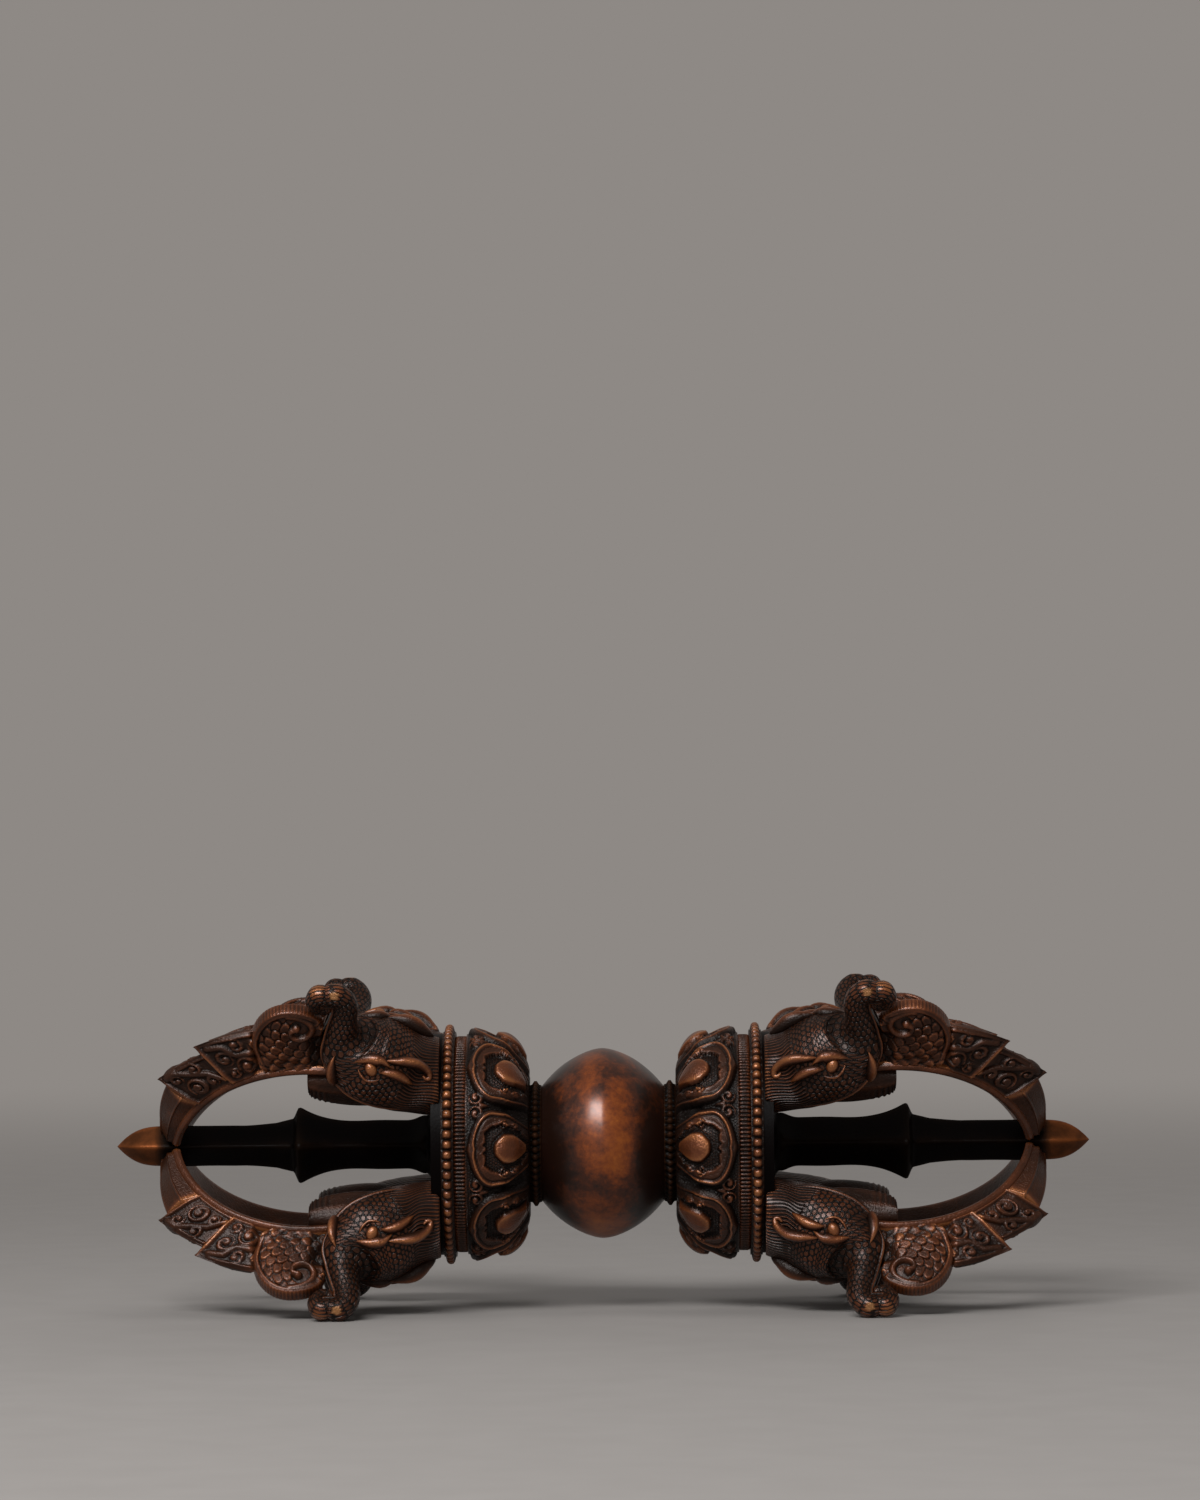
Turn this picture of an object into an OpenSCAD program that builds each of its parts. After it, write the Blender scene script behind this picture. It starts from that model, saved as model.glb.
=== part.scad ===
// Five-pronged vajra, lying on the curled trunks of its four lower prongs.
// X runs along the axis, Z is up, and z = 0 is the surface that it lies on.
// Each end is the mirror image of the other: collar, lotus base, bead ring, prong seat,
// centre prong and four outer prongs, each prong growing from the mouth of a makara.

/* [Hub] */
// Length of the hub between its two collars
hub_len = 31.4; // [26:0.2:40]
// Radius of the hub at its widest
hub_r = 24.5; // [20:0.5:28]
// Radius of the hub where a collar meets it
hub_end_r = 14.8; // [13:0.2:17]
// Fullness of the hub: 2 is an ellipse, less draws its middle out to a soft ridge
hub_fullness = 1.7; // [1.5:0.05:2.2]

/* [Core rod] */
// Radius of the rod that ties both ends to the hub
rod_r = 3; // [2:0.1:3.4]
// How far the rod runs into each centre prong
rod_grip = 16; // [8:1:20]
// Gap round every tenon, spigot and rod
fit_gap = 0.05; // [0.02:0.01:0.1]

/* [Collars] */
// Width of a collar along the axis
collar_w = 3.1; // [2.4:0.1:4.5]
// Radius of a collar's body
collar_r = 15.1; // [14:0.1:17]
// Radius of one collar bead
collar_bead_r = 0.8; // [0.5:0.05:1]
// Least gap between two collar beads
collar_bead_gap = 0.25; // [0.1:0.05:1]

/* [Lotus bases] */
// Radius of the neck that passes through the collar into the hub
neck_r = 10; // [8:0.5:11]
// Depth of the hub's socket for the neck
neck_grip = 4; // [2:0.5:6]
// Radius of the bowl where it meets the collar
bowl_end_r = 15.6; // [14.5:0.2:18]
// Radius of the bowl at its widest
bowl_r = 28.2; // [27.5:0.2:30]
// Length over which the bowl swells to its widest
shoulder_len = 7; // [5:0.5:9]
// Length of the bowl from the collar to the ribbed band
bowl_len = 16; // [14:0.5:20]
// Width of the ribbed band beside the bead ring
band_w = 2.9; // [2:0.1:4]
// How far the ribbed band lies below the bowl
band_inset = 0.7; // [0.3:0.1:1.2]
// Number of petals
petal_count = 8; // [6:1:8]
// Length of a petal along the axis
petal_len = 15.2; // [12:0.2:15.6]
// Width of a petal at its widest
petal_w = 19.6; // [14:0.2:21]
// Width of a petal at the collar
petal_foot_w = 10; // [6:0.5:12]
// Height of a petal above the bowl
petal_lift = 1.7; // [0.8:0.1:2.2]
// Width of a petal's raised rim
rim_w = 1.7; // [1.2:0.1:2.4]
// Height of the field inside that rim, as a share of the petal's height
field_share = 0.3; // [0.2:0.05:0.7]
// Radius of the boss on each petal
boss_r = 4; // [2.5:0.1:4.2]
// Height of the boss above the field
boss_h = 1.8; // [1.2:0.1:2.2]
// Distance of the boss from the collar
boss_at = 5.2; // [4.6:0.2:6]
// Radius of a tendril loop between two petals
loop_r = 1.8; // [1.2:0.1:2]
// Distance of the loops from the collar
loop_at = 13.2; // [12.4:0.2:13.6]
// Height of the loops above the bowl
loop_lift = 1.3; // [0.6:0.1:1.8]
// Thickness of a loop
loop_t = 0.7; // [0.5:0.1:0.9]

/* [Bead rings] */
// How far the ring's body stands out beyond the bowl
ring_proud = 1; // [0.4:0.1:1.6]
// Thickness of the ring's wall round the step that carries it
ring_wall = 3.4; // [2.8:0.1:4]
// Width of the ring along the axis
ring_w = 3.1; // [2.8:0.1:4]
// Radius of one bead
bead_r = 1.2; // [0.8:0.05:1.3]
// Least gap between two beads
bead_gap = 0.15; // [0.1:0.05:1]

/* [Prong seats] */
// Thickness of the seat plate that clamps the bead ring
seat_t = 2.6; // [2:0.1:4]
// How far the seat plate's rim lies below the ring's body
seat_inset = 0.8; // [0.2:0.1:2]
// Radius of the spigot that centres the plate in the lotus base
spigot_r = 12; // [9:0.5:14]
// Length of that spigot
spigot_len = 2.5; // [1.5:0.1:4]

/* [Centre prongs] */
// Half the side of the square shaft at its root
shaft_half = 4.6; // [4.2:0.1:5.4]
// Half the side of the square shaft where the outer prongs meet it
shaft_tip_half = 3.8; // [3.2:0.1:4.2]
// Half the side of the flared collar's rim
flare_half = 7.2; // [6:0.1:8.5]
// Distance of the flared rim from the seat
flare_at = 34.2; // [30:0.5:40]
// Length of the flare's concave side
flare_len = 13; // [8:0.5:18]
// Width of the flared rim's edge
flare_edge = 1.6; // [1:0.1:3]
// Radius of the round foot on the seat
foot_r = 12.5; // [10:0.5:14]
// Height of that foot
foot_len = 7; // [4:0.5:9]
// Length of the point beyond the outer prongs
finial_len = 11.7; // [8:0.1:15]

/* [Outer prongs] */
// Distance from the seat to the middle of the arch
arch_at = 31.2; // [29:0.2:36]
// Half length of the arch's inner opening
arch_len = 34; // [30:0.5:42]
// Height of the arch's inner side above the axis
arch_rise = 31.6; // [29:0.2:34]
// Half width of the rail along the arch's inner side
rail_half = 5.4; // [4:0.1:6.5]
// Height of the rail
rail_t = 2.2; // [1.5:0.1:3]
// How far the blade steps in from the rail
rail_step = 0.8; // [0.3:0.1:1.5]
// Half width of the blade's outer edge
edge_half = 1.6; // [1:0.1:2.5]
// Thickness of the blade where it meets the centre prong
blade_tip_t = 4.8; // [4:0.1:6.5]
// Half thickness of the scaled fin
fin_half = 2.3; // [1.5:0.1:3]
// Radius of the fin's curl
fin_r = 7; // [5.5:0.1:7.5]
// Distance of the fin's curl from the seat
fin_at = 36.4; // [34:0.2:38]
// Height of the fin's curl above the axis
fin_rise = 44.2; // [42:0.2:45]

/* [Makara heads] */
// Distance of the neck's centre from the axis
root_rise = 24.4; // [23:0.2:26]
// Radius of the neck at the seat
root_r = 8; // [6.5:0.1:8.5]
// Distance of the head's centre from the axis
head_rise = 30.8; // [29:0.2:32]
// Half width of the head
head_half_w = 11.7; // [9:0.1:12.5]
// Half height of the head
head_half_h = 11; // [9:0.1:11.5]
// Distance of the head's centre from the seat
head_at = 12; // [11:0.5:13]
// Distance of the trunk's foot from the seat
trunk_at = 21; // [20:0.2:22]
// Radius of the trunk at its curl
trunk_r = 3; // [2.4:0.1:3.2]
// Distance of the curl's centre from the seat
curl_at = 23.6; // [22.6:0.2:24.6]
// Radius of the trunk's curl
curl_r = 3.8; // [3.6:0.1:4.4]
// Height of the curl's centre above the axis
curl_rise = 52.6; // [50:0.2:56]
// Depth of the worn flats on which the vajra lies
flat_depth = 0.6; // [0.3:0.1:1]
// Half width of the lower jaw
jaw_half = 7; // [5:0.1:8]
// Length of the lower jaw from the seat
jaw_len = 31; // [29:0.2:33]
// Height of the jaw's inner side above the axis
jaw_rise = 19.8; // [19:0.2:22]
// Radius of an eye
eye_r = 2.1; // [1.5:0.1:2.6]
// Length of a fang
fang_len = 6; // [4:0.2:7]
// Radius of a fang
fang_r = 1.3; // [0.9:0.1:1.6]
// Length of the tenon that holds an outer prong
tenon_len = 6; // [4.5:0.1:7]
// Wall between that tenon and the step that carries the bead ring
tenon_wall = 1.7; // [1.2:0.1:3]
// Side of that tenon along the radius
tenon_h = 5; // [3:0.1:5]
// Side of that tenon across the radius
tenon_w = 8; // [5:0.1:9]

/* [Hidden] */
$fn = 96;

PRONG_SPOTS = [
    ["front_upper", 45], ["front_lower", 135], ["back_lower", 225], ["back_upper", 315]
];
SIDES = [["left", 1], ["right", 0]];

// Stations along the axis, from the hub's middle outwards
collar_x = hub_len / 2;
neck_x = collar_x - neck_grip + fit_gap;
bowl_x = collar_x + collar_w;
band_x = bowl_x + bowl_len;
ring_x = band_x + band_w;
seat_x = ring_x + ring_w;
face_x = seat_x + seat_t;
arch_x = face_x + arch_at;
blade_end_x = arch_x + arch_len + blade_tip_t;
tip_x = blade_end_x + finial_len;
rod_end_x = face_x + rod_grip;

// Radii at the prong end of the lotus base, all set by the bowl
band_r = bowl_r - band_inset;
ring_r = bowl_r + ring_proud;
ring_seat_r = ring_r - ring_wall;
seat_r = ring_r - seat_inset;
tenon_rise = ring_seat_r - tenon_wall - tenon_h / 2;

// Height of the axis above the surface that the vajra lies on
trunk_reach = curl_rise + curl_r;
rest_h = trunk_reach * sqrt(1 / 2) + trunk_r - flat_depth;

// Colours of the patinas
POLISHED = "#6b3a22";
RUBBED = "#55301f";
DARK = "#33211a";

// Puts a piece that was drawn round the axis at its height above the surface
module lifted() translate([0, 0, rest_h]) children();

// Lays a piece that was turned about +Z along +X
module along_x() rotate([0, 90, 0]) children();

// Draws a piece of the right end, or its mirror image at the left end
module at_end(is_left) lifted() mirror([is_left, 0, 0]) children();

// Hub and core rod

module hub() {
    half_axis = collar_x / pow(1 - pow(hub_end_r / hub_r, hub_fullness), 1 / hub_fullness);
    steps = 32;
    outline = [for (i = [0:steps]) let (x = -collar_x + hub_len * i / steps)
        [hub_r * pow(1 - pow(abs(x) / half_axis, hub_fullness), 1 / hub_fullness), x]];
    color(POLISHED) lifted() along_x() difference() {
        rotate_extrude() polygon(concat([[0, -collar_x]], outline, [[0, collar_x]]));
        translate([0, 0, -collar_x - 1]) cylinder(r = rod_r + fit_gap, h = hub_len + 2);
        for (end = [0, 1]) mirror([0, 0, end])
            translate([0, 0, collar_x - neck_grip])
                cylinder(r = neck_r + fit_gap, h = neck_grip + 1);
    }
}

module core_rod() {
    color(DARK) lifted() along_x() cylinder(r = rod_r, h = 2 * rod_end_x, center = true);
}

// Collar: a beaded ring round the neck of the lotus base

// As many beads of radius r as fit round a body, each sunk into it by two thirds of its radius
module ring_of_beads(body_r, r, gap) {
    circle_r = body_r + r / 3;
    count = floor(2 * PI * circle_r / (2 * r + gap));
    for (i = [0:count - 1]) rotate([0, 0, 360 * i / count]) translate([circle_r, 0, 0]) sphere(r);
}

module collar(is_left) {
    color(DARK) at_end(is_left) translate([collar_x + collar_w / 2, 0, 0]) along_x() union() {
        difference() {
            cylinder(r = collar_r, h = collar_w, center = true);
            cylinder(r = neck_r + fit_gap, h = collar_w + 1, center = true);
        }
        ring_of_beads(collar_r, collar_bead_r, collar_bead_gap);
    }
}

// Lotus base: a bowl with petals, a neck on the hub's side and a step for the bead ring

// Outline of the bowl's swelling side, raised by lift
function shoulder(lift) = [for (a = [0:10:90])
    [bowl_end_r + (bowl_r - bowl_end_r) * sin(a) + lift * sin(a), bowl_x + shoulder_len * (1 - cos(a))]];

module raised_bowl(lift) {
    along_x() rotate_extrude() polygon(concat([[0, bowl_x]], shoulder(lift),
        [[bowl_r + lift, band_x], [0, band_x]]));
}

// Outline of a petal, drawn in from its edge by inset, and open towards the collar
module petal_outline(inset) {
    widest = 0.55 * petal_len;
    front = petal_len - inset;
    function half_width(x) = x < widest
        ? petal_foot_w / 2 + (petal_w - petal_foot_w) / 2 * sin(90 * x / widest) - inset
        : (petal_w / 2 - inset) * sqrt(max(0, 1 - pow((x - widest) / (front - widest), 2)));
    steps = 16;
    side = [for (i = [0:steps]) let (x = front * sin(90 * i / steps)) [x, half_width(x)]];
    mirrored = [for (i = [steps - 1:-1:0]) [side[i][0], -side[i][1]]];
    polygon(concat(side, mirrored));
}

// Petal: a raised rim round a lower field
module petal() {
    reach = bowl_r + petal_lift + 1;
    intersection() {
        raised_bowl(petal_lift);
        translate([bowl_x, 0, 0]) linear_extrude(reach) difference() {
            petal_outline(0);
            petal_outline(rim_w);
        }
    }
    intersection() {
        raised_bowl(petal_lift * field_share);
        translate([bowl_x, 0, 0]) linear_extrude(reach) petal_outline(rim_w / 2);
    }
}

// Boss: a round dome on the petal's field, with a tail of lower domes down to the collar
module boss() {
    domes = [[1, 1], [0.68, 0.8], [0.4, 0.66]];
    for (dome = domes) {
        r = boss_r * dome[0];
        h = boss_h * dome[1];
        ball_r = (r * r + h * h) / (2 * h);
        at = boss_at * (dome[0] * 1.3 - 0.3);
        angle = acos(1 - min(1, at / shoulder_len));
        field_r = bowl_end_r + (bowl_r + petal_lift * field_share - bowl_end_r) * sin(angle);
        translate([bowl_x + at, 0, field_r + h - ball_r]) sphere(ball_r);
    }
}

// Tendrils: a pair of loops on the bowl between two petals, beside the ribbed band
module tendrils() {
    for (side = [-1, 1]) translate([bowl_x + loop_at, side * (loop_r + 0.1), 0]) difference() {
        cylinder(r = loop_r, h = bowl_r + loop_lift);
        translate([0, 0, bowl_r + loop_lift / 3]) cylinder(r = loop_r - loop_t, h = loop_lift);
    }
}

// Tenon of an outer prong, grown by gap for its mortise
module tenon(gap) {
    translate([face_x - tenon_len - gap, -tenon_w / 2 - gap, tenon_rise - tenon_h / 2 - gap])
        cube([tenon_len + gap + 1, tenon_w + 2 * gap, tenon_h + 2 * gap]);
}

module tenon_mortises() {
    for (spot = PRONG_SPOTS) rotate([spot[1], 0, 0]) tenon(fit_gap);
}

module lotus_base(is_left) {
    color(RUBBED) at_end(is_left) difference() {
        union() {
            along_x() rotate_extrude() polygon(concat(
                [[0, neck_x], [neck_r, neck_x], [neck_r, bowl_x]],
                shoulder(0),
                [[bowl_r, band_x], [band_r, band_x], [band_r, ring_x], [ring_seat_r, ring_x],
                    [ring_seat_r, seat_x], [0, seat_x]]));
            for (i = [0:petal_count - 1]) rotate([90 + 360 * i / petal_count, 0, 0]) {
                petal();
                boss();
                rotate([180 / petal_count, 0, 0]) tendrils();
            }
        }
        along_x() cylinder(r = rod_r + fit_gap, h = seat_x + 1);
        translate([seat_x - spigot_len - fit_gap, 0, 0]) along_x()
            cylinder(r = spigot_r + fit_gap, h = spigot_len + 1);
        tenon_mortises();
    }
}

// Bead ring: slips over the step of the lotus base

module bead_ring(is_left) {
    color(RUBBED) at_end(is_left) translate([ring_x + ring_w / 2, 0, 0]) along_x() union() {
        difference() {
            cylinder(r = ring_r, h = ring_w, center = true);
            cylinder(r = ring_seat_r + fit_gap, h = ring_w + 1, center = true);
        }
        ring_of_beads(ring_r, bead_r, bead_gap);
    }
}

// Prong seat: a plate that clamps the bead ring and carries the five prongs

module prong_seat(is_left) {
    color(DARK) at_end(is_left) difference() {
        union() {
            translate([seat_x, 0, 0]) along_x() cylinder(r = seat_r, h = seat_t);
            translate([seat_x - spigot_len, 0, 0]) along_x()
                cylinder(r = spigot_r, h = spigot_len + seat_t / 2);
        }
        along_x() cylinder(r = rod_r + fit_gap, h = face_x + 1);
        tenon_mortises();
    }
}

// Centre prong: a square shaft whose flats face the outer prongs

function shaft_outline() =
    let (flare_start = flare_at - flare_len, steps = 8)
    concat(
        [[0, shaft_half]],
        [for (i = [0:steps]) let (k = i / steps)
            [flare_start + flare_len * k, shaft_half + (flare_half - shaft_half) * pow(k, 2.2)]],
        [[flare_at + flare_edge / 2, flare_half], [flare_at + flare_edge, shaft_half + 0.5],
            [flare_at + 4 * flare_edge, (shaft_half + shaft_tip_half) / 2],
            [flare_at + 9 * flare_edge, shaft_tip_half], [blade_end_x - face_x, shaft_tip_half]],
        [for (k = [0.36, 0.62, 0.8, 1]) [blade_end_x - face_x + finial_len * k,
            shaft_tip_half * (1 - pow(k, 2.6))]]);

module square_shaft() {
    upper = shaft_outline();
    lower = [for (i = [len(upper) - 2:-1:0]) [upper[i][0], -upper[i][1]]];
    intersection_for (turn = [45, -45]) rotate([turn, 0, 0]) rotate([90, 0, 0])
        linear_extrude(4 * flare_half, center = true) polygon(concat(upper, lower));
}

module foot() {
    steps = 8;
    side = [for (i = [0:steps]) let (a = 90 * i / steps)
        [foot_r - (foot_r - shaft_half) * sin(a), foot_len * (1 - cos(a))]];
    along_x() rotate_extrude() polygon(concat([[0, 0]], side, [[0, foot_len]]));
}

module centre_prong(is_left) {
    color(DARK) at_end(is_left) translate([face_x, 0, 0]) difference() {
        union() {
            square_shaft();
            foot();
        }
        translate([-1, 0, 0]) along_x() cylinder(r = rod_r + fit_gap, h = rod_grip + fit_gap + 1);
    }
}

// Outer prong: drawn upright in the XZ plane, with x counted from the seat and z from the axis

// Closed skin through rings of points that all have the same count
module skin(rings) {
    sides = len(rings[0]);
    last = len(rings) - 1;
    walls = [for (i = [0:last - 1], j = [0:sides - 1], half = [0, 1])
        let (a = i * sides + j, b = i * sides + (j + 1) % sides)
        half == 0 ? [a, b, a + sides] : [b, b + sides, a + sides]];
    start = [for (j = [1:sides - 2]) [0, j + 1, j]];
    end = [for (j = [1:sides - 2]) [last * sides, last * sides + j, last * sides + j + 1]];
    polyhedron([for (ring = rings) each ring], concat(walls, start, end));
}

// Point on a smooth curve through the stations, k counted in stations
function on_curve(stations, k) =
    let (n = len(stations) - 1, i = min(n - 1, floor(k)), t = k - i,
        a = stations[max(0, i - 1)], b = stations[i], c = stations[i + 1], d = stations[min(n, i + 2)])
    (2 * b + (c - a) * t + (2 * a - 5 * b + 4 * c - d) * t * t + (3 * b - a - 3 * c + d) * t * t * t) / 2;

// Spine of the makara as [x, z, half width, half height], from the neck to the curled trunk
function makara_spine() =
    let (sweep = 240, shrink = 0.45)
    concat(
        [[0, root_rise, root_r, root_r],
            [head_at * 0.46, (root_rise + head_rise) / 2 + 0.2, head_half_w - 1.2, head_half_h - 1],
            [head_at, head_rise, head_half_w, head_half_h],
            [head_at + 5.2, head_rise + 2.4, head_half_w - 0.9, head_half_h - 0.8],
            [trunk_at - 0.2, head_rise + 6.6, head_half_w - 3, head_half_h - 3.2],
            [trunk_at, head_rise + 11.6, trunk_r + 2.8, trunk_r + 2.2],
            [(trunk_at + curl_at - curl_r) / 2, curl_rise - 5, trunk_r + 1.2, trunk_r + 1]],
        [for (a = [0:30:sweep])
            let (k = 1 - shrink * max(0, a - 90) / (sweep - 90), r = curl_r * k, t = trunk_r * k)
            [curl_at - r * cos(a), curl_rise + r * sin(a), t, t]]);

// The first ring lies flat on the seat, and the next ones lean over to square with the spine
module makara() {
    sides = 12;
    per_station = 2;
    spine = makara_spine();
    count = per_station * (len(spine) - 1);
    function at(i) = on_curve(spine, min(count, max(0, i)) / per_station);
    rings = [for (i = [0:count])
        let (s = at(i), step = at(i + 0.5) - at(i - 0.5), ahead = [step[0], step[1] * min(1, i / 4)],
            up = [-ahead[1], ahead[0]] / norm(ahead))
        [for (j = [0:sides - 1]) let (c = s[3] * cos(360 * j / sides), w = s[2] * sin(360 * j / sides))
            [s[0] + up[0] * c, w, s[1] + up[1] * c]]];
    skin(rings);
}

// Blade thickness by its angle round the arch: each leaf's foot is followed by its pointed tip
BLADE = [[14, 6], [22, 7.8], [31, 9.6], [34, 12.2], [43, 11.6], [52, 11], [55, 14], [64, 13.2],
    [74, 12.3], [82, 10.5], [92, 7], [102, 4], [112, 3]];

module blade() {
    foot_angle = asin(shaft_tip_half / arch_rise);
    function inner(a) = [arch_at + arch_len * cos(a), arch_rise * sin(a)];
    function outward(a) = let (v = [arch_rise * cos(a), arch_len * sin(a)]) v / norm(v);
    function section(low, high) = let (
            reach = high - low,
            rail = low + reach * min(0.4, rail_t / norm(reach)),
            wide = min(rail_half, 0.95 * low[1]),
            half = [wide, wide, wide - rail_step, edge_half],
            line = [low, rail, rail, high])
        [for (k = [0:7]) let (i = k < 4 ? k : 7 - k) [line[i][0], k < 4 ? half[i] : -half[i], line[i][1]]];
    tip = section(inner(foot_angle), [arch_at + arch_len + blade_tip_t, shaft_tip_half]);
    skin(concat([tip], [for (b = BLADE) section(inner(b[0]), inner(b[0]) + outward(b[0]) * b[1])]));
}

// Extrudes a shape drawn in x and z to both sides of the prong's plane
module to_both_sides(half) rotate([90, 0, 0]) linear_extrude(2 * half, center = true) children();

module fin() {
    to_both_sides(fin_half) union() {
        hull() {
            translate([fin_at, fin_rise]) circle(fin_r);
            translate([fin_at - 5, fin_rise + 1.6]) circle(fin_r - 1.8);
        }
        polygon([[fin_at + fin_r - 0.4, fin_rise - 1], [fin_at + fin_r + 2, arch_rise],
            [trunk_at, arch_rise], [trunk_at + 4, fin_rise - 3], [fin_at - 5, fin_rise + 1.6]]);
    }
}

module jaw() {
    to_both_sides(jaw_half) polygon([
        [head_at - 6, jaw_rise + 1], [head_at - 2, jaw_rise], [head_at + 3, jaw_rise + 0.2],
        [jaw_len - 10, jaw_rise + 2.2], [jaw_len - 4, jaw_rise + 4.4], [jaw_len - 0.6, jaw_rise + 6.7],
        [jaw_len, jaw_rise + 8.8], [jaw_len - 1, arch_rise], [head_at - 6, arch_rise]]);
}

module face_features() {
    for (side = [-1, 1]) {
        translate([head_at + 3, side * (head_half_w - 2.3), head_rise + 7]) sphere(eye_r);
        translate([trunk_at + 2.3, side * (head_half_w - 4.6), head_rise - 0.6]) {
            cylinder(r1 = 0.5, r2 = fang_r, h = fang_len - fang_r);
            translate([0, 0, fang_len - fang_r]) sphere(fang_r);
        }
    }
}

module outer_prong(is_left, turn) {
    color(RUBBED) at_end(is_left) rotate([turn, 0, 0]) {
        intersection() {
            translate([face_x, 0, 0]) union() {
                makara();
                blade();
                fin();
                jaw();
                face_features();
            }
            rotate([45, 0, 0]) cube([3 * tip_x, 2 * rest_h, 2 * rest_h], center = true);
        }
        tenon(0);
    }
}

hub();
core_rod();
for (side = SIDES) {
    collar(side[1]);
    lotus_base(side[1]);
    bead_ring(side[1]);
    prong_seat(side[1]);
    centre_prong(side[1]);
    for (spot = PRONG_SPOTS)
        outer_prong(side[1], spot[1]);
}
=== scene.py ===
import math

import bpy
import numpy as np
from mathutils import Matrix, Vector


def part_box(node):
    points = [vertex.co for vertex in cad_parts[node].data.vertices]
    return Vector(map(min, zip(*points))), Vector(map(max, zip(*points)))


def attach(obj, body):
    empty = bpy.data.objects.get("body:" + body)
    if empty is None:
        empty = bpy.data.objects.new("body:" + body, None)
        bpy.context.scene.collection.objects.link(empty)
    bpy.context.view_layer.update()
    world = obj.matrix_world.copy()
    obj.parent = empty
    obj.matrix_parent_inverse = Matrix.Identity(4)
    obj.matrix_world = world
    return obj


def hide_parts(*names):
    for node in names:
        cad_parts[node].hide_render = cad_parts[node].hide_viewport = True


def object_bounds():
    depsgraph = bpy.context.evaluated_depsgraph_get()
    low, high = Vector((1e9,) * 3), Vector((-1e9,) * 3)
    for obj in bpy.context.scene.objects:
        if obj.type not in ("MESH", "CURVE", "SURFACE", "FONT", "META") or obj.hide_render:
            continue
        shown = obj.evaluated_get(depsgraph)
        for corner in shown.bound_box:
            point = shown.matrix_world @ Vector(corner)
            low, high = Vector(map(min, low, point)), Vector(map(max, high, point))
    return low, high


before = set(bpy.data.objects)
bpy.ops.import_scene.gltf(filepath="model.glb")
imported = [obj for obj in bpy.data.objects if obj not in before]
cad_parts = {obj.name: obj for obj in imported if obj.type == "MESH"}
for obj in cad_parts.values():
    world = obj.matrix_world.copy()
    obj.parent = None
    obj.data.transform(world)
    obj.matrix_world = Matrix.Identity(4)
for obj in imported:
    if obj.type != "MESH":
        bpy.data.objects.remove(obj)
cad_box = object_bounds()

# Camera: a long lens a metre and a half off, a little above the axis of the vajra.
# The vajra fills the width of the lower part of an upright 1200 x 1500 picture.
MM = 0.001
PICTURE_HEIGHT_PX = 1500
PICTURE_MIDDLE_PX = (600, 750)
VAJRA_MIDDLE_PX = (603, 1143)
PX_PER_MM = 3.876
SENSOR_MM = 36
CAMERA_DISTANCE = 1.5
CAMERA_ELEVATION = math.radians(2.8)
CAMERA_YAW = math.radians(0.4)
CAMERA_ROLL = math.radians(-0.45)

vajra_middle = (Vector(cad_box[0]) + Vector(cad_box[1])) / 2
focal_px = CAMERA_DISTANCE / MM * PX_PER_MM
bpy.ops.object.select_all(action="DESELECT")
bpy.ops.object.camera_add()
camera = bpy.context.object
camera.name = "photo_camera"
camera.data.sensor_fit = "VERTICAL"
camera.data.sensor_height = SENSOR_MM
camera.data.lens = SENSOR_MM * focal_px / PICTURE_HEIGHT_PX
camera.data.clip_end = 50
away = Vector((
    math.sin(CAMERA_YAW) * math.cos(CAMERA_ELEVATION),
    -math.cos(CAMERA_YAW) * math.cos(CAMERA_ELEVATION),
    math.sin(CAMERA_ELEVATION),
))
facing = (-away).to_track_quat("-Z", "Y").to_matrix().to_4x4()
tilt_up = math.atan((VAJRA_MIDDLE_PX[1] - PICTURE_MIDDLE_PX[1]) / focal_px)
turn_left = math.atan((VAJRA_MIDDLE_PX[0] - PICTURE_MIDDLE_PX[0]) / focal_px)
camera.matrix_world = (
    Matrix.Translation(vajra_middle + away * CAMERA_DISTANCE)
    @ facing
    @ Matrix.Rotation(CAMERA_ROLL, 4, "Z")
    @ Matrix.Rotation(tilt_up, 4, "X")
    @ Matrix.Rotation(turn_left, 4, "Y")
)
bpy.context.scene.camera = camera

# Hub: the plain grip in the middle, cast in copper, scraped round and burnished with wax.
# It is a swollen barrel with a soft ridge, socketed at both ends for the necks of the lotus bases.
AXIS_Z = vajra_middle.z / MM
HUB_FULLNESS = 1.7
HUB_END_R = 14.8
NECK_R = 10.0
HAMMER_MM = 15
HAMMER_SWELL = 0.12
HUB_COLUMNS, HUB_ROWS = 160, 120
WELD_MM = 0.002


def wrapped_sheet(name, columns, rows, form):
    """Lays an even grid over a form, as a sheet of wax over a core, and welds it where it meets itself.
    form(across, along) takes shares of the sheet, 0 to 1, and gives x, y, z in millimetres, and may add
    a dictionary of values for each point, which a material reads by name."""
    bpy.ops.object.select_all(action="DESELECT")
    bpy.ops.mesh.primitive_grid_add(x_subdivisions=columns, y_subdivisions=rows, size=1)
    piece = bpy.context.object
    piece.name = piece.data.name = name
    flat = np.empty(3 * len(piece.data.vertices))
    piece.data.vertices.foreach_get("co", flat)
    across, along = flat.reshape(-1, 3)[:, :2].T + 0.5
    x, y, z, *extra = form(across, along)
    piece.data.vertices.foreach_set("co", (np.stack([x, y, z], axis=1) * MM).ravel())
    for value_name, values in (extra[0] if extra else {}).items():
        point_values(piece, value_name, values)
    bpy.ops.object.mode_set(mode="EDIT")
    bpy.ops.mesh.select_all(action="SELECT")
    bpy.ops.mesh.remove_doubles(threshold=WELD_MM * MM)
    bpy.ops.mesh.normals_make_consistent(inside=False)
    bpy.ops.object.mode_set(mode="OBJECT")
    bpy.ops.object.shade_smooth()
    return piece


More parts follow.
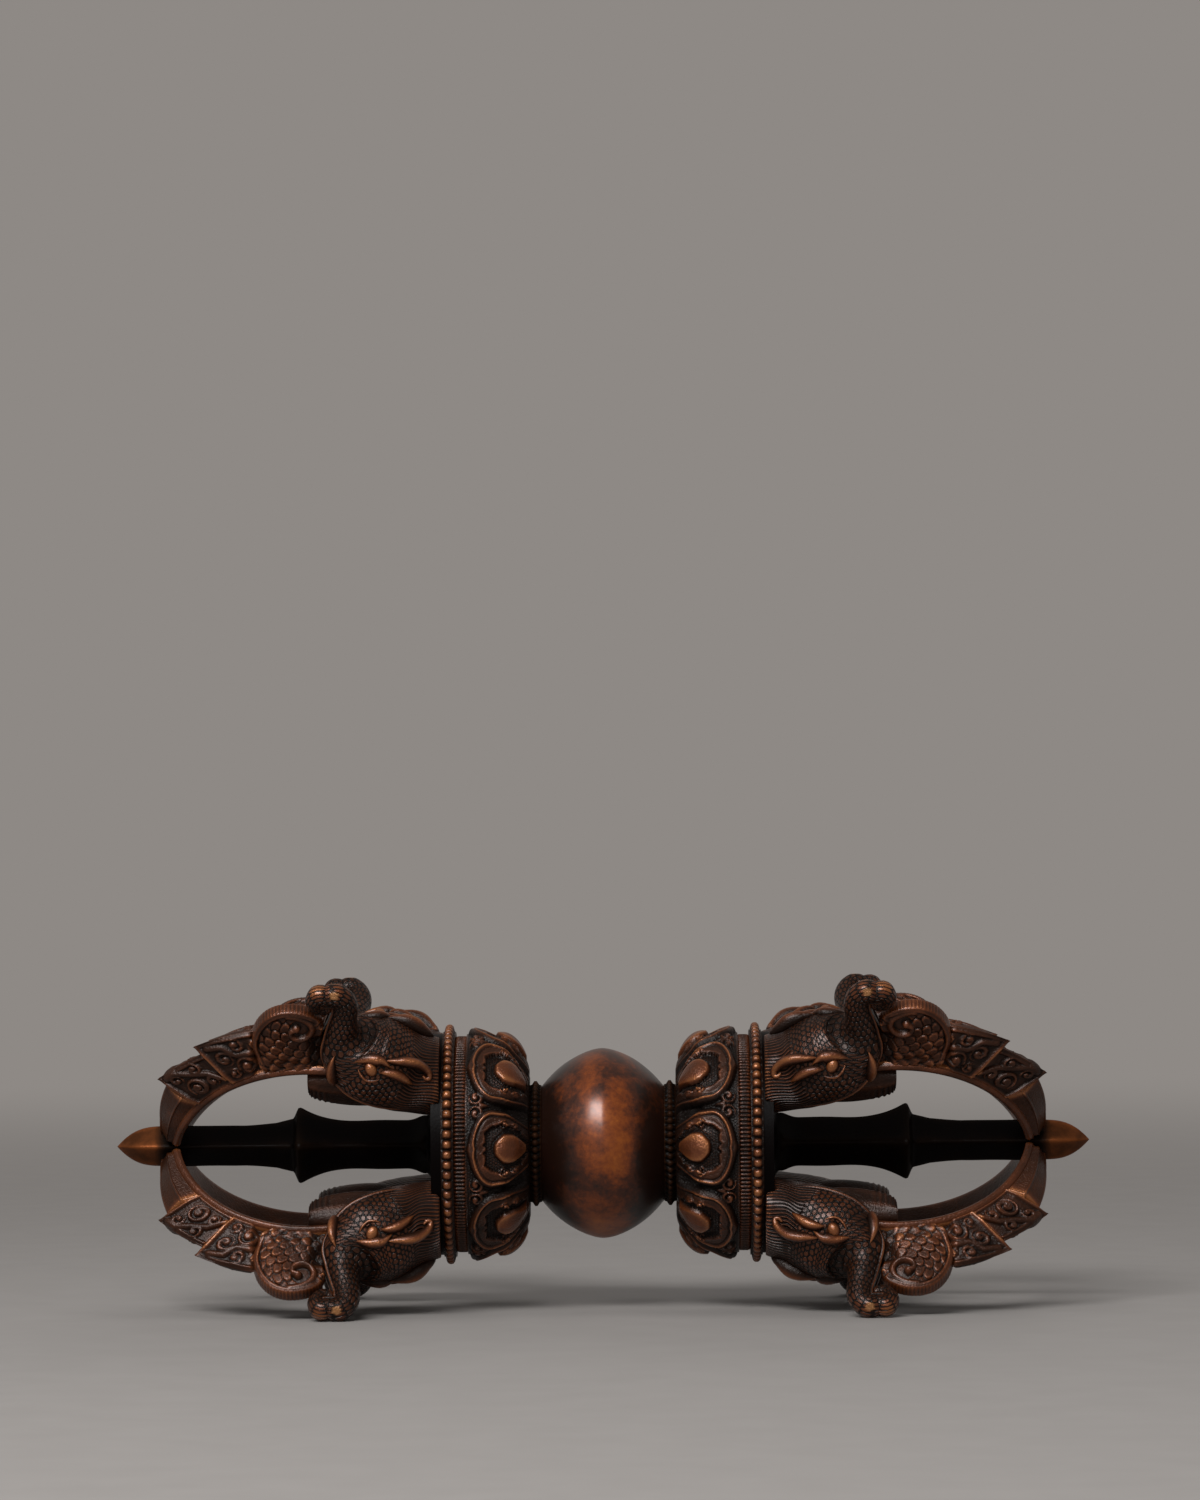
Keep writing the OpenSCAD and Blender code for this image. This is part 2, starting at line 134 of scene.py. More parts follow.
def point_values(piece, name, values):
    """Stores one number, or one vector, for each point of a piece."""
    values = np.asarray(values, dtype=np.float32)
    layers = piece.data.attributes
    if values.ndim == 2:
        layer = layers.get(name) or layers.new(name, "FLOAT_VECTOR", "POINT")
        layer.data.foreach_set("vector", values.ravel())
    else:
        layer = layers.get(name) or layers.new(name, "FLOAT", "POINT")
        layer.data.foreach_set("value", values)


def wander(x, y, z, wavelength):
    """Slow swell of a surface worked by hand, from -1 to 1."""
    x, y, z = (2 * math.pi / wavelength * value for value in (x, y, z))
    return (
        np.sin(x + 1.7 * np.sin(0.6 * y + 1.3))
        + np.sin(y + 1.4 * np.sin(0.7 * z + 0.4))
        + np.sin(z + 1.9 * np.sin(0.5 * x + 2.1))
    ) / 3


def turned_rows(x, r, rows):
    """Stations along a turned outline that closes on itself: rows even steps along its outer side,
    then one step back through the bore to its start. Gives x, r and the outward normal at each share."""
    run = np.concatenate([[0], np.cumsum(np.hypot(np.diff(x), np.diff(r)))])
    stations = np.linspace(0, run[-1], rows)
    reach = 0.01 * run[-1]
    out_x = -(np.interp(stations + reach, run, r) - np.interp(stations - reach, run, r))
    out_r = np.interp(stations + reach, run, x) - np.interp(stations - reach, run, x)
    size = np.maximum(np.hypot(out_x, out_r), 1e-6)
    kept = np.stack([np.interp(stations, run, x), np.interp(stations, run, r), out_x / size, out_r / size])
    kept = np.concatenate([kept, kept[:, :1]], axis=1)
    shares = np.linspace(0, 1, rows + 1)
    return lambda along: [np.interp(along, shares, line) for line in kept]


def linear(hex_colour):
    """Turns an sRGB hex colour into the linear colour that a shader takes."""
    shares = [int(hex_colour[i:i + 2], 16) / 255 for i in (1, 3, 5)]
    return [c / 12.92 if c <= 0.04045 else ((c + 0.055) / 1.055) ** 2.4 for c in shares] + [1]


def set_inputs(tree, node, inputs):
    """Gives each input named a value, or a link from a socket or from the first output of a node."""
    for name, value in inputs.items():
        if isinstance(value, bpy.types.Node):
            tree.links.new(value.outputs[0], node.inputs[name])
        elif isinstance(value, bpy.types.NodeSocket):
            tree.links.new(value, node.inputs[name])
        else:
            node.inputs[name].default_value = value


def add_node(tree, kind, inputs=None, **settings):
    """Adds one node, with its settings and with a value or a link for each input named."""
    made = tree.nodes.new(kind)
    for name, value in settings.items():
        setattr(made, name, value)
    set_inputs(tree, made, inputs or {})
    return made


def colour_stops(ramp_node, stops):
    """Gives a colour ramp its stops, as shares of its length and hex colours."""
    elements = ramp_node.color_ramp.elements
    while len(elements) < len(stops):
        elements.new(1)
    for element, (share, colour) in zip(elements, stops):
        element.position = share
        element.color = linear(colour)


def new_finish(name):
    """Starts a material and returns it with its tree, its shader and its object coordinates."""
    finish = bpy.data.materials.new(name)
    finish.use_nodes = True
    tree = finish.node_tree
    place = add_node(tree, "ShaderNodeTexCoord").outputs["Object"]
    return finish, tree, tree.nodes["Principled BSDF"], place


def fit_piece(piece, finish, node):
    """Gives a piece its finish and puts it in place of its CAD node."""
    piece.data.materials.clear()
    piece.data.materials.append(finish)
    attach(piece, "root")
    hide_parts(node)


hub_half_len, hub_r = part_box("hub")[1][0] / MM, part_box("hub")[1][1] / MM
half_axis = hub_half_len / (1 - (HUB_END_R / hub_r) ** HUB_FULLNESS) ** (1 / HUB_FULLNESS)
hub_x = hub_half_len * np.linspace(-1, 1, HUB_ROWS)
hub_side = hub_r * (1 - np.abs(hub_x / half_axis) ** HUB_FULLNESS) ** (1 / HUB_FULLNESS)
hub_outline = turned_rows(np.concatenate([hub_x[:1], hub_x, hub_x[-1:]]),
                          np.concatenate([[NECK_R], hub_side, [NECK_R]]), HUB_ROWS)


def hub_form(across, along):
    turn = 2 * math.pi * across
    x, r, _, _ = hub_outline(along)
    dip = HAMMER_SWELL * (wander(x, r * np.cos(turn), r * np.sin(turn), HAMMER_MM) - 1)
    r = r + np.where(r > HUB_END_R - 0.1, dip, 0)
    return x, r * np.cos(turn), AXIS_Z + r * np.sin(turn)


# Burnished copper: red-brown where palms rub it and dark brown in cloudy patches of old oxide, under a film
# of wax that gives one broad soft highlight. The clouds are set so that a bright patch lies at the upper
# front as painted highlight, and the colour darkens towards both ends as painted shade.
CLOUD_MM = 19
# Shift of the clouds that puts a bright patch at the upper front, as painted highlight.
CLOUD_SHIFT_TO_HIGHLIGHT_M = (0.03, 0.02, 0.11)
STREAK_MM = 1.4
END_SHADE_FROM_MM, END_SHADE_TO_MM = 3, 16
burnished_copper, tree, shader, place = new_finish("burnished_copper")
cloud_place = add_node(tree, "ShaderNodeVectorMath", {0: place, 1: CLOUD_SHIFT_TO_HIGHLIGHT_M}, operation="ADD")
clouds = add_node(tree, "ShaderNodeTexNoise", {"Vector": cloud_place, "Scale": 1 / (CLOUD_MM * MM),
                                               "Detail": 6.0, "Roughness": 0.58, "Distortion": 0.5})
streaks = add_node(tree, "ShaderNodeTexNoise", {"Vector": place, "Scale": 1 / (STREAK_MM * MM), "Detail": 4.0,
                                                "Roughness": 0.65})
mottle = add_node(tree, "ShaderNodeMath", {0: streaks, 1: 0.3, 2: clouds}, operation="MULTIPLY_ADD")
apart = add_node(tree, "ShaderNodeSeparateXYZ", {0: place})
# Painted shade: the colour darkens from the middle of the hub towards both ends.
from_middle = add_node(tree, "ShaderNodeMath", {0: apart.outputs["X"]}, operation="ABSOLUTE")
end_shade = add_node(tree, "ShaderNodeMapRange", {"Value": from_middle, "From Min": END_SHADE_FROM_MM * MM,
                                               "From Max": END_SHADE_TO_MM * MM, "To Min": 0.05, "To Max": -0.32},
                  interpolation_type="SMOOTHSTEP")
mottle_and_end_shade = add_node(tree, "ShaderNodeMath", {0: mottle, 1: end_shade}, operation="ADD")
tones = add_node(tree, "ShaderNodeValToRGB", {"Fac": mottle_and_end_shade})
colour_stops(tones, [(0.46, "#1a0903"), (0.57, "#3f1a06"), (0.68, "#672e08"), (0.84, "#8a470f")])
gloss = add_node(tree, "ShaderNodeMapRange", {"Value": mottle, "From Min": 0.45, "From Max": 0.85,
                                              "To Min": 0.42, "To Max": 0.5})
scratches = add_node(tree, "ShaderNodeBump", {"Height": streaks, "Strength": 0.1, "Distance": 0.2 * MM})
set_inputs(tree, shader, {"Base Color": tones, "Roughness": gloss, "Normal": scratches, "Metallic": 0.35,
                          "Specular IOR Level": 0.2, "Coat Weight": 0.7, "Coat Roughness": 0.26})

hub = wrapped_sheet("copper_hub", HUB_COLUMNS, HUB_ROWS, hub_form)
fit_piece(hub, burnished_copper, "hub")

# Core rod: a plain copper rod that ties both ends to the hub, driven in and never seen.
# Its CAD solid is right, so it only takes its own drawn and darkened finish.
DRAW_MARK_MM = 0.8
plain_copper, tree, shader, place = new_finish("plain_copper")
marks_place = add_node(tree, "ShaderNodeMapping", {"Vector": place, "Scale": (0.1, 1, 1)})
marks = add_node(tree, "ShaderNodeTexNoise", {"Vector": marks_place, "Scale": 1 / (DRAW_MARK_MM * MM)})
tones = add_node(tree, "ShaderNodeValToRGB", {"Fac": marks})
colour_stops(tones, [(0.35, "#4a281a"), (0.65, "#7a4428")])
set_inputs(tree, shader, {"Base Color": tones, "Metallic": 0.8, "Roughness": 0.5})
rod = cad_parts["core_rod"]
rod.data.materials.clear()
rod.data.materials.append(plain_copper)

# Collars: rings turned in the same copper, one at each end of the hub, slipped over the neck.
# A row of small beads runs between two narrow fillets, all left dark as patina and as painted shade in the
# crease between hub and lotus base.
COLLAR_BEADS = 52
COLLAR_BEAD_HALF = (0.92, 0.98)
COLLAR_R = 15.1
COLLAR_BEAD_TOP = 16.1
COLLAR_COLUMNS, COLLAR_ROWS = 9 * COLLAR_BEADS, 22
COLLAR_PATINA_AND_SHADE = -0.3
BEAD_SQUARENESS = 2.6
BED_DEPTH = 0.45
FILLET = 0.15


def smooth_step(low, high, value):
    share = np.clip((value - low) / (high - low), 0, 1)
    return share * share * (3 - 2 * share)


def copy_piece(piece, name, move):
    """Copies a piece with a mesh of its own, moved by a matrix, and right side out if that mirrors it."""
    twin = piece.copy()
    twin.data = piece.data.copy()
    twin.name = twin.data.name = name
    bpy.context.collection.objects.link(twin)
    twin.data.transform(move)
    if move.determinant() < 0:
        twin.data.flip_normals()
    return twin


def fit_pair(piece, left_name, finish, node):
    """Copies a piece of the right end as its mirror image at the left end, and fits both."""
    twin = copy_piece(piece, left_name, Matrix.Scale(-1, 4, (1, 0, 0)))
    fit_piece(piece, finish, "right_" + node)
    fit_piece(twin, finish, "left_" + node)


def rub_high_points(piece, passes, depth):
    """Stores how far each point stands over a smoothed copy of the surface, as hands rub it:
    0 in a recess of that depth in millimetres, 1 on a ridge of that height, and then what its form stored as
    wear and
    painted shade: more where hands reach, less where they don't, and less where shade is painted in."""
    mesh = piece.data
    count = len(mesh.vertices)
    points, normals = np.empty(3 * count), np.empty(3 * count)
    mesh.vertices.foreach_get("co", points)
    mesh.vertex_normals.foreach_get("vector", normals)
    points = points.reshape(-1, 3)
    ends = np.empty(2 * len(mesh.edges), dtype=np.int32)
    mesh.edges.foreach_get("vertices", ends)
    start, end = ends[0::2], ends[1::2]
    degree = np.maximum(np.bincount(ends, minlength=count), 1)[:, None]
    smooth = points
    for _ in range(passes):
        total = np.stack([
            np.bincount(start, smooth[end, axis], count) + np.bincount(end, smooth[start, axis], count)
            for axis in range(3)
        ], axis=1)
        smooth = (smooth + total / degree) / 2
    height = ((points - smooth) * normals.reshape(-1, 3)).sum(axis=1) / MM
    wear_and_shade = np.zeros(count, dtype=np.float32)
    if "wear_and_shade" in mesh.attributes:
        mesh.attributes["wear_and_shade"].data.foreach_get("value", wear_and_shade)
    point_values(piece, "rub", np.clip(0.5 + height / (2 * depth), 0, 1) + wear_and_shade)


def beaded_ring_form(box, count, bead_half, body_r, top_r, bore_r, rows, wear_and_shade):
    """Form of a ring with a row of cushion-shaped beads between two fillets. bead_half is half a bead's
    size round the ring and along the axis."""
    low_x, high_x = box[0][0] / MM, box[1][0] / MM
    outline = turned_rows(np.array([low_x, low_x, low_x + FILLET, high_x - FILLET, high_x, high_x]),
                          np.array([bore_r, body_r - 0.2, body_r, body_r, body_r - 0.2, bore_r]), rows)

    def form(across, along):
        turn = 2 * math.pi * across
        x, r, _, _ = outline(along)
        around = ((across * count) % 1 - 0.5) * 2 * math.pi * body_r / count / bead_half[0]
        beside = (x - (low_x + high_x) / 2) / bead_half[1]
        bed = BED_DEPTH * smooth_step(1.12, 1.0, np.abs(beside))
        bead = np.sqrt(np.clip(
            1 - np.abs(around) ** BEAD_SQUARENESS - np.abs(beside) ** BEAD_SQUARENESS, 0, 1))
        r = r + np.where(r > body_r - 0.3, bead * (top_r - body_r + BED_DEPTH) - bed, 0)
        return x, -r * np.sin(turn), AXIS_Z + r * np.cos(turn), {"wear_and_shade": np.full_like(r, wear_and_shade)}
    return form


# Dark patina and painted shade: black-brown oxide where no hand reaches, dull under old wax, kept near black
# as painted shade on the parts that lie in shade between the heads and the lotus bases, with a faint copper
# glow where an edge has been touched.
GRIME_MM = 6
GRAIN_MM = 0.6
dark_patina, tree, shader, place = new_finish("dark_patina")
rub = add_node(tree, "ShaderNodeAttribute", attribute_name="rub").outputs["Fac"]
grime = add_node(tree, "ShaderNodeTexNoise", {"Vector": place, "Scale": 1 / (GRIME_MM * MM), "Detail": 6.0,
                                              "Roughness": 0.6})
stain = add_node(tree, "ShaderNodeMath", {0: grime, 1: 0.35}, operation="MULTIPLY")
shade = add_node(tree, "ShaderNodeMath", {0: rub, 1: 0.6, 2: stain}, operation="MULTIPLY_ADD")
tones = add_node(tree, "ShaderNodeValToRGB", {"Fac": shade})
colour_stops(tones, [(0.2, "#030101"), (0.42, "#0c0502"), (0.62, "#231208"), (0.8, "#3f2210"),
                     (0.95, "#6e3c1e")])
grain = add_node(tree, "ShaderNodeTexNoise", {"Vector": place, "Scale": 1 / (GRAIN_MM * MM), "Detail": 3.0})
gloss = add_node(tree, "ShaderNodeMapRange", {"Value": grime, "From Min": 0.3, "From Max": 0.7,
                                              "To Min": 0.38, "To Max": 0.5})
pits = add_node(tree, "ShaderNodeBump", {"Height": grain, "Strength": 0.35, "Distance": 0.15 * MM})
metal = add_node(tree, "ShaderNodeMapRange", {"Value": shade, "From Min": 0.5, "From Max": 0.95,
                                              "To Min": 0.0, "To Max": 0.5})
set_inputs(tree, shader, {"Base Color": tones, "Roughness": gloss, "Normal": pits, "Metallic": metal,
                          "Specular IOR Level": 0.05})

collar = wrapped_sheet("right_beaded_collar", COLLAR_COLUMNS, COLLAR_ROWS, beaded_ring_form(
    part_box("right_collar"), COLLAR_BEADS, COLLAR_BEAD_HALF, COLLAR_R, COLLAR_BEAD_TOP, NECK_R, COLLAR_ROWS,
    COLLAR_PATINA_AND_SHADE))
rub_high_points(collar, passes=12, depth=0.35)
fit_pair(collar, "left_beaded_collar", dark_patina, "collar")

# Lotus bases: bowls of eight petals, cast and then chased, one at each end of the hub.
# Each petal has a turned lip with a fine crest, a leaf border with scrolls, a matted field and a cut boss,
# and a pair of tendril loops fills the ground between two petals.
BOWL_END_R = 15.6
BOWL_R = 28.2
SHOULDER_LEN = 7.0
BOWL_LEN = 16.0
PETALS = 8
PETAL_LEN = 15.2
PETAL_HALF_W = 10.3
PETAL_WIDEST = 8.4
FOOT_FROM_COLLAR = [0, 1.5, 3, 5, 8.4]
FOOT_SHARE = [0.78, 0.87, 0.92, 0.94, 0.955]
LIP_W, LIP_LIFT = 1.0, 1.5
CREST_IN, CREST_HALF, CREST_LIFT = 0.3, 0.28, 0.3
GROOVE_IN, GROOVE_HALF, GROOVE_DEPTH = 0.58, 0.3, 0.55
LEAF_IN, LEAF_W, LOBE_W = 0.7, 1.5, 1.0
PETAL_SCROLLS = ((5.9, 6.2, 1.35, 1), (2.8, 5.7, 1.15, -1))
FIELD_LIFT, FIELD_SAG = 0.5, 1.1
VALLEY_LEN, VALLEY_DEPTH = 12.0, 3.4
BOSS_AT, BOSS_HALF_W, BOSS_LEN = 4.8, 4.0, (4.5, 3.9)
BOSS_LIFT, BOSS_STEEP, BOSS_CUT = 0.6, 4.2, 1.36
LOOP_AT, LOOP_ASIDE, LOOP_R, LOOP_LIFT = 13.1, 2.0, 1.95, 1.15
BUD_FROM, BUD_TO, BUD_HALF_W = 9.4, 12.6, 0.9
VALLEY_TOUCH, BOSS_TOUCH, FIELD_TOUCH = -0.18, 0.07, 0.06
MATTING_MM = 0.8
LOTUS_SWELL, LOTUS_SWELL_MM = 0.1, 9
LOTUS_COLUMNS, LOTUS_ROWS = 78 * PETALS, 120
bowl_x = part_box("right_collar")[1][0] / MM
petal_sector = 2 * math.pi / PETALS


def bowl_radius(s):
    """Radius of the plain bowl at s along the axis from the collar."""
    return BOWL_END_R + (BOWL_R - BOWL_END_R) * np.sqrt(1 - (1 - np.clip(s / SHOULDER_LEN, 0, 1)) ** 2)


def ridge(distance, half_width):
    """Rounded bead of height 1 along a line, by the distance from that line."""
    return np.sqrt(np.clip(1 - (distance / half_width) ** 2, 0, 1))


def scroll(du, dv, radius, turns, sense, start):
    """Spiral tendril chased inside a disc, as a height from 0 in its groove to 1 on its back."""
    reach = np.hypot(du, dv) / radius
    angle = np.arctan2(dv, du) * sense + start
    wave = 0.5 + 0.5 * np.cos(2 * math.pi * turns * reach - angle)
    back = np.where(reach < 0.22, 1, smooth_step(0.12, 0.55, wave))
    return back * smooth_step(1.0, 0.86, reach)


def petal_border(s, t, inside):
    """Height from a petal's edge inwards: a turned lip, a fine crest with its groove, a border of leaf lobes
    with two scrolls on each side, and the field. Also gives where the field is, and the crest's place."""
    crest_at = LIP_W + CREST_IN + 0.6 * np.exp(-(t / 1.2) ** 2) * smooth_step(9, 11, s)
    leaf_at = crest_at + LEAF_IN
    round_petal = np.arctan2(t, s - 6.6)
    lobes = np.abs(np.cos(5.5 * round_petal + 0.7 * np.sin(3 * round_petal))) ** 0.6
    leaf_end = leaf_at + LEAF_W + LOBE_W * lobes
    field = smooth_step(leaf_end - 0.12, leaf_end + 0.18, inside)
    height = LIP_LIFT * ridge(np.minimum(inside, LIP_W) - LIP_W, LIP_W)
    height += CREST_LIFT * ridge(inside - crest_at, CREST_HALF)
    height -= GROOVE_DEPTH * ridge(inside - crest_at - GROOVE_IN, GROOVE_HALF)
    height -= 0.3 * smooth_step(crest_at + 0.5, leaf_at, inside)
    height += 0.2 * ridge(inside - leaf_end + 0.35, 0.4)
    height += 0.12 * lobes * smooth_step(leaf_at, leaf_end, inside)
    height += field * (FIELD_LIFT - height) - FIELD_SAG * smooth_step(1.5, 5.5, inside)
    for at_s, at_t, radius, sense in PETAL_SCROLLS:
        curl = scroll(s - at_s, np.abs(t) - at_t, radius, 1.4, sense, 0.8)
        near = np.hypot(s - at_s, np.abs(t) - at_t) < radius
        height = np.where(near, height + 0.7 * curl - 0.1, height)
    return height, field, crest_at


def petal_boss(s, t, fall):
    """Height of the cut boss on a petal, and how far out from its middle each point lies, 1 at its foot."""
    along = np.where(s > BOSS_AT, (s - BOSS_AT) / BOSS_LEN[1], (BOSS_AT - s) / BOSS_LEN[0])
    narrow = np.where(s > BOSS_AT, 1, 1 - 0.25 * np.clip(along, 0, 1) ** 2)
    aside = np.abs(t / (BOSS_HALF_W * narrow))
    cut = np.maximum(np.maximum(np.abs(along), aside), (np.abs(along) + aside) / BOSS_CUT)
    out = 0.5 * cut + 0.5 * np.hypot(along, aside)
    top = BOSS_LIFT - 0.08 * np.abs(t) - 0.4 * fall
    wall = FIELD_LIFT - FIELD_SAG - fall + BOSS_STEEP * np.clip(1 - out, 0, 1) ** 0.75
    return np.minimum(top, wall), out


def valley_tendrils(s, from_valley):
    """Heights of the pair of tendril loops and of the bud before them, in the valley between two petals."""
    loops = np.zeros_like(s)
    for side in (-1, 1):
        loop = scroll(s - LOOP_AT, from_valley - side * LOOP_ASIDE, LOOP_R, 1.3, side, 2.6)
        loops = np.maximum(loops, loop)
    bud_half = BUD_HALF_W * np.clip((s - BUD_FROM) / 2.4, 0.05, 1)
    ends = smooth_step(BUD_FROM, BUD_FROM + 0.8, s) * smooth_step(BUD_TO, BUD_TO - 0.4, s)
    return loops, ridge(from_valley, bud_half) * ends


def petal_relief(s, t, from_valley):
    """Height of the chasing at s along the axis from the collar, t across from the petal's middle line,
    and the distance from the valley between two petals; also how matted and how rubbed it is there."""
    foot_share = np.interp(s, FOOT_FROM_COLLAR, FOOT_SHARE)
    half_w = np.minimum(PETAL_HALF_W, foot_share * petal_sector / 2 * bowl_radius(s))
    front_len = PETAL_LEN - PETAL_WIDEST
    ahead = np.clip((s - PETAL_WIDEST) / front_len - 0.05 * np.exp(-(t / 1.5) ** 2), 0, 2)
    q = np.hypot(ahead, t / half_w)
    slope = np.hypot(ahead / front_len, t / half_w ** 2) / np.maximum(q, 0.05)
    inside = (1 - q) / np.maximum(slope, 0.04)
    outside = inside < 0
    valley = VALLEY_DEPTH * np.clip(np.sin(math.pi * np.clip(s / VALLEY_LEN, 0, 1) ** 0.55), 0, 1) ** 1.5
    fall = valley * np.clip(t / half_w, -1.05, 1.05) ** 2
    low_end = 1 - smooth_step(0.3, 5.2, s)
    height, field, crest_at = petal_border(s, t, inside)
    boss_height, boss_out = petal_boss(s, t, fall)
    boss = boss_out < 1
    height = (height - 0.3 * ridge(boss_out - 1.06, 0.08)) * (1 - 0.5 * low_end) - fall
    height = np.where(boss, boss_height, height)
    loops, bud = valley_tendrils(s, from_valley)
    height = np.where(outside, np.maximum(LOOP_LIFT * loops, bud) - fall, height)
    matted = np.where(outside, 0.4 * (np.maximum(loops, bud) < 0.05), field * ~boss)
    lip = smooth_step(crest_at + 0.4, crest_at - 0.4, inside) - 0.7 * ridge(inside - crest_at, 0.3)
    places = [outside, boss, field > 0.5]
    wear_and_shade = np.select(places, [VALLEY_TOUCH, BOSS_TOUCH, FIELD_TOUCH], -0.3 * lip - 0.06)
    return height * smooth_step(0, 0.5, s), matted, wear_and_shade - 0.15 * low_end * ~boss


shoulder_turn = np.radians(np.linspace(0, 90, 80))
shoulder_x = bowl_x + SHOULDER_LEN * (1 - np.cos(shoulder_turn))
shoulder_r = BOWL_END_R + (BOWL_R - BOWL_END_R) * np.sin(shoulder_turn)
lotus_outline = turned_rows(np.concatenate([[bowl_x], shoulder_x, [bowl_x + BOWL_LEN] * 2]),
                            np.concatenate([[NECK_R], shoulder_r, [BOWL_R, BOWL_R - 3]]), LOTUS_ROWS)


def lotus_form(across, along):
    turn = 2 * math.pi * across
    x, r, out_x, out_r = lotus_outline(along)
    from_petal = (turn - math.pi / 2 + petal_sector / 2) % petal_sector - petal_sector / 2
    from_valley = (turn - math.pi / 2) % petal_sector - petal_sector / 2
    s = x - bowl_x
    height, matted, wear_and_shade = petal_relief(s, from_petal * r, from_valley * r)
    on_bowl = (r > BOWL_END_R - 0.05) & (s < BOWL_LEN - 0.05)
    swell = LOTUS_SWELL * wander(x, r * np.sin(turn), r * np.cos(turn), LOTUS_SWELL_MM)
    height = np.where(on_bowl, height + swell, 0)
    skin = np.stack([s, from_petal * r, 0 * s], axis=1) / MATTING_MM
    x, r = x + out_x * height, r + out_r * height
    return x, -r * np.sin(turn), AXIS_Z + r * np.cos(turn), {"matted": matted, "skin": skin, "wear_and_shade": wear_and_shade}


# Chased copper: brown patina over the whole relief, nearly black in the grooves and matted grounds where
# wax and soot stay, rubbed back to copper on every ridge, with a soft waxy shine. The round punch marks
# follow the surface, by an attribute that counts punches along it and across it.
PATCH_MM = 11
WORK_MM = 0.5
chased_copper, tree, shader, place = new_finish("chased_copper")
rub = add_node(tree, "ShaderNodeAttribute", attribute_name="rub").outputs["Fac"]
matted = add_node(tree, "ShaderNodeAttribute", attribute_name="matted").outputs["Fac"]
skin = add_node(tree, "ShaderNodeAttribute", attribute_name="skin").outputs["Vector"]
hair = add_node(tree, "ShaderNodeAttribute", attribute_name="hair").outputs["Fac"]
bare = add_node(tree, "ShaderNodeAttribute", attribute_name="bare").outputs["Fac"]
unworn = add_node(tree, "ShaderNodeMath", {0: 1.0, 1: bare}, operation="SUBTRACT")
matting = add_node(tree, "ShaderNodeMath", {0: matted, 1: unworn}, operation="MULTIPLY")
patches = add_node(tree, "ShaderNodeTexNoise", {"Vector": place, "Scale": 1 / (PATCH_MM * MM), "Detail": 5.0,
                                                "Roughness": 0.6})
work = add_node(tree, "ShaderNodeTexNoise", {"Vector": place, "Scale": 1 / (WORK_MM * MM), "Detail": 3.0})
stray = add_node(tree, "ShaderNodeTexNoise", {"Vector": skin, "Scale": 0.6, "Detail": 1.0})
strayed = add_node(tree, "ShaderNodeVectorMath", {0: stray.outputs["Color"], 1: (0.7, 0.7, 0.0), 2: skin},
                   operation="MULTIPLY_ADD")
punch_step = 4 * math.pi / math.sqrt(3)
punch_marks = 0.0
for row_turn in np.radians((0, 60, 120)):
    row = (punch_step * math.cos(row_turn), punch_step * math.sin(row_turn), 0)
    count = add_node(tree, "ShaderNodeVectorMath", {0: strayed, 1: row}, operation="DOT_PRODUCT")
    wave = add_node(tree, "ShaderNodeMath", {0: count.outputs["Value"]}, operation="COSINE")
    punch_marks = add_node(tree, "ShaderNodeMath", {0: wave, 1: punch_marks}, operation="ADD")
groove = add_node(tree, "ShaderNodeMapRange", {"Value": punch_marks, "From Min": 0.0, "From Max": -1.1},
                  interpolation_type="SMOOTHSTEP")
groove_here = add_node(tree, "ShaderNodeMath", {0: groove, 1: matting}, operation="MULTIPLY")
hair_wave = add_node(tree, "ShaderNodeMath", {0: hair}, operation="SINE")
unmatted = add_node(tree, "ShaderNodeMath", {0: 1.0, 1: matting}, operation="SUBTRACT")
hair_here = add_node(tree, "ShaderNodeMath", {0: hair_wave, 1: unmatted}, operation="MULTIPLY")
patch_shift = add_node(tree, "ShaderNodeMapRange", {"Value": patches, "From Min": 0.3,
                                                    "From Max": 0.7, "To Min": -0.12, "To Max": 0.12})
worn = add_node(tree, "ShaderNodeMath", {0: rub, 1: patch_shift}, operation="ADD")
sooted = add_node(tree, "ShaderNodeMath", {0: groove_here, 1: -0.55, 2: worn}, operation="MULTIPLY_ADD")
combed = add_node(tree, "ShaderNodeMath", {0: hair_here, 1: 0.26, 2: sooted}, operation="MULTIPLY_ADD")
fine_worn = add_node(tree, "ShaderNodeMath", {0: work, 1: 0.12, 2: combed}, operation="MULTIPLY_ADD")
tones = add_node(tree, "ShaderNodeValToRGB", {"Fac": fine_worn})
colour_stops(tones, [(0.2, "#0a0402"), (0.45, "#1c0d06"), (0.64, "#341a0c"), (0.84, "#592d15"),
                     (1.0, "#824e2a")])
polished = add_node(tree, "ShaderNodeMix", {"Factor": bare, 6: tones, 7: linear("#7d5532")}, data_type="RGBA")
gloss = add_node(tree, "ShaderNodeMapRange", {"Value": fine_worn, "From Min": 0.2, "From Max": 0.9,
                                              "To Min": 0.4, "To Max": 0.32})
metal = add_node(tree, "ShaderNodeMapRange", {"Value": fine_worn, "From Min": 0.3, "From Max": 1.0,
                                              "To Min": 0.1, "To Max": 0.5})
pebbles = add_node(tree, "ShaderNodeMath", {0: groove_here, 1: -2.0, 2: work}, operation="MULTIPLY_ADD")
relief = add_node(tree, "ShaderNodeMath", {0: hair_here, 1: 1.4, 2: pebbles}, operation="MULTIPLY_ADD")
chasing = add_node(tree, "ShaderNodeBump", {"Height": relief, "Strength": 1.0, "Distance": 0.22 * MM})
wax = add_node(tree, "ShaderNodeMapRange", {"Value": fine_worn, "From Min": 0.45, "From Max": 1.0,
                                            "To Min": 0.0, "To Max": 0.55})
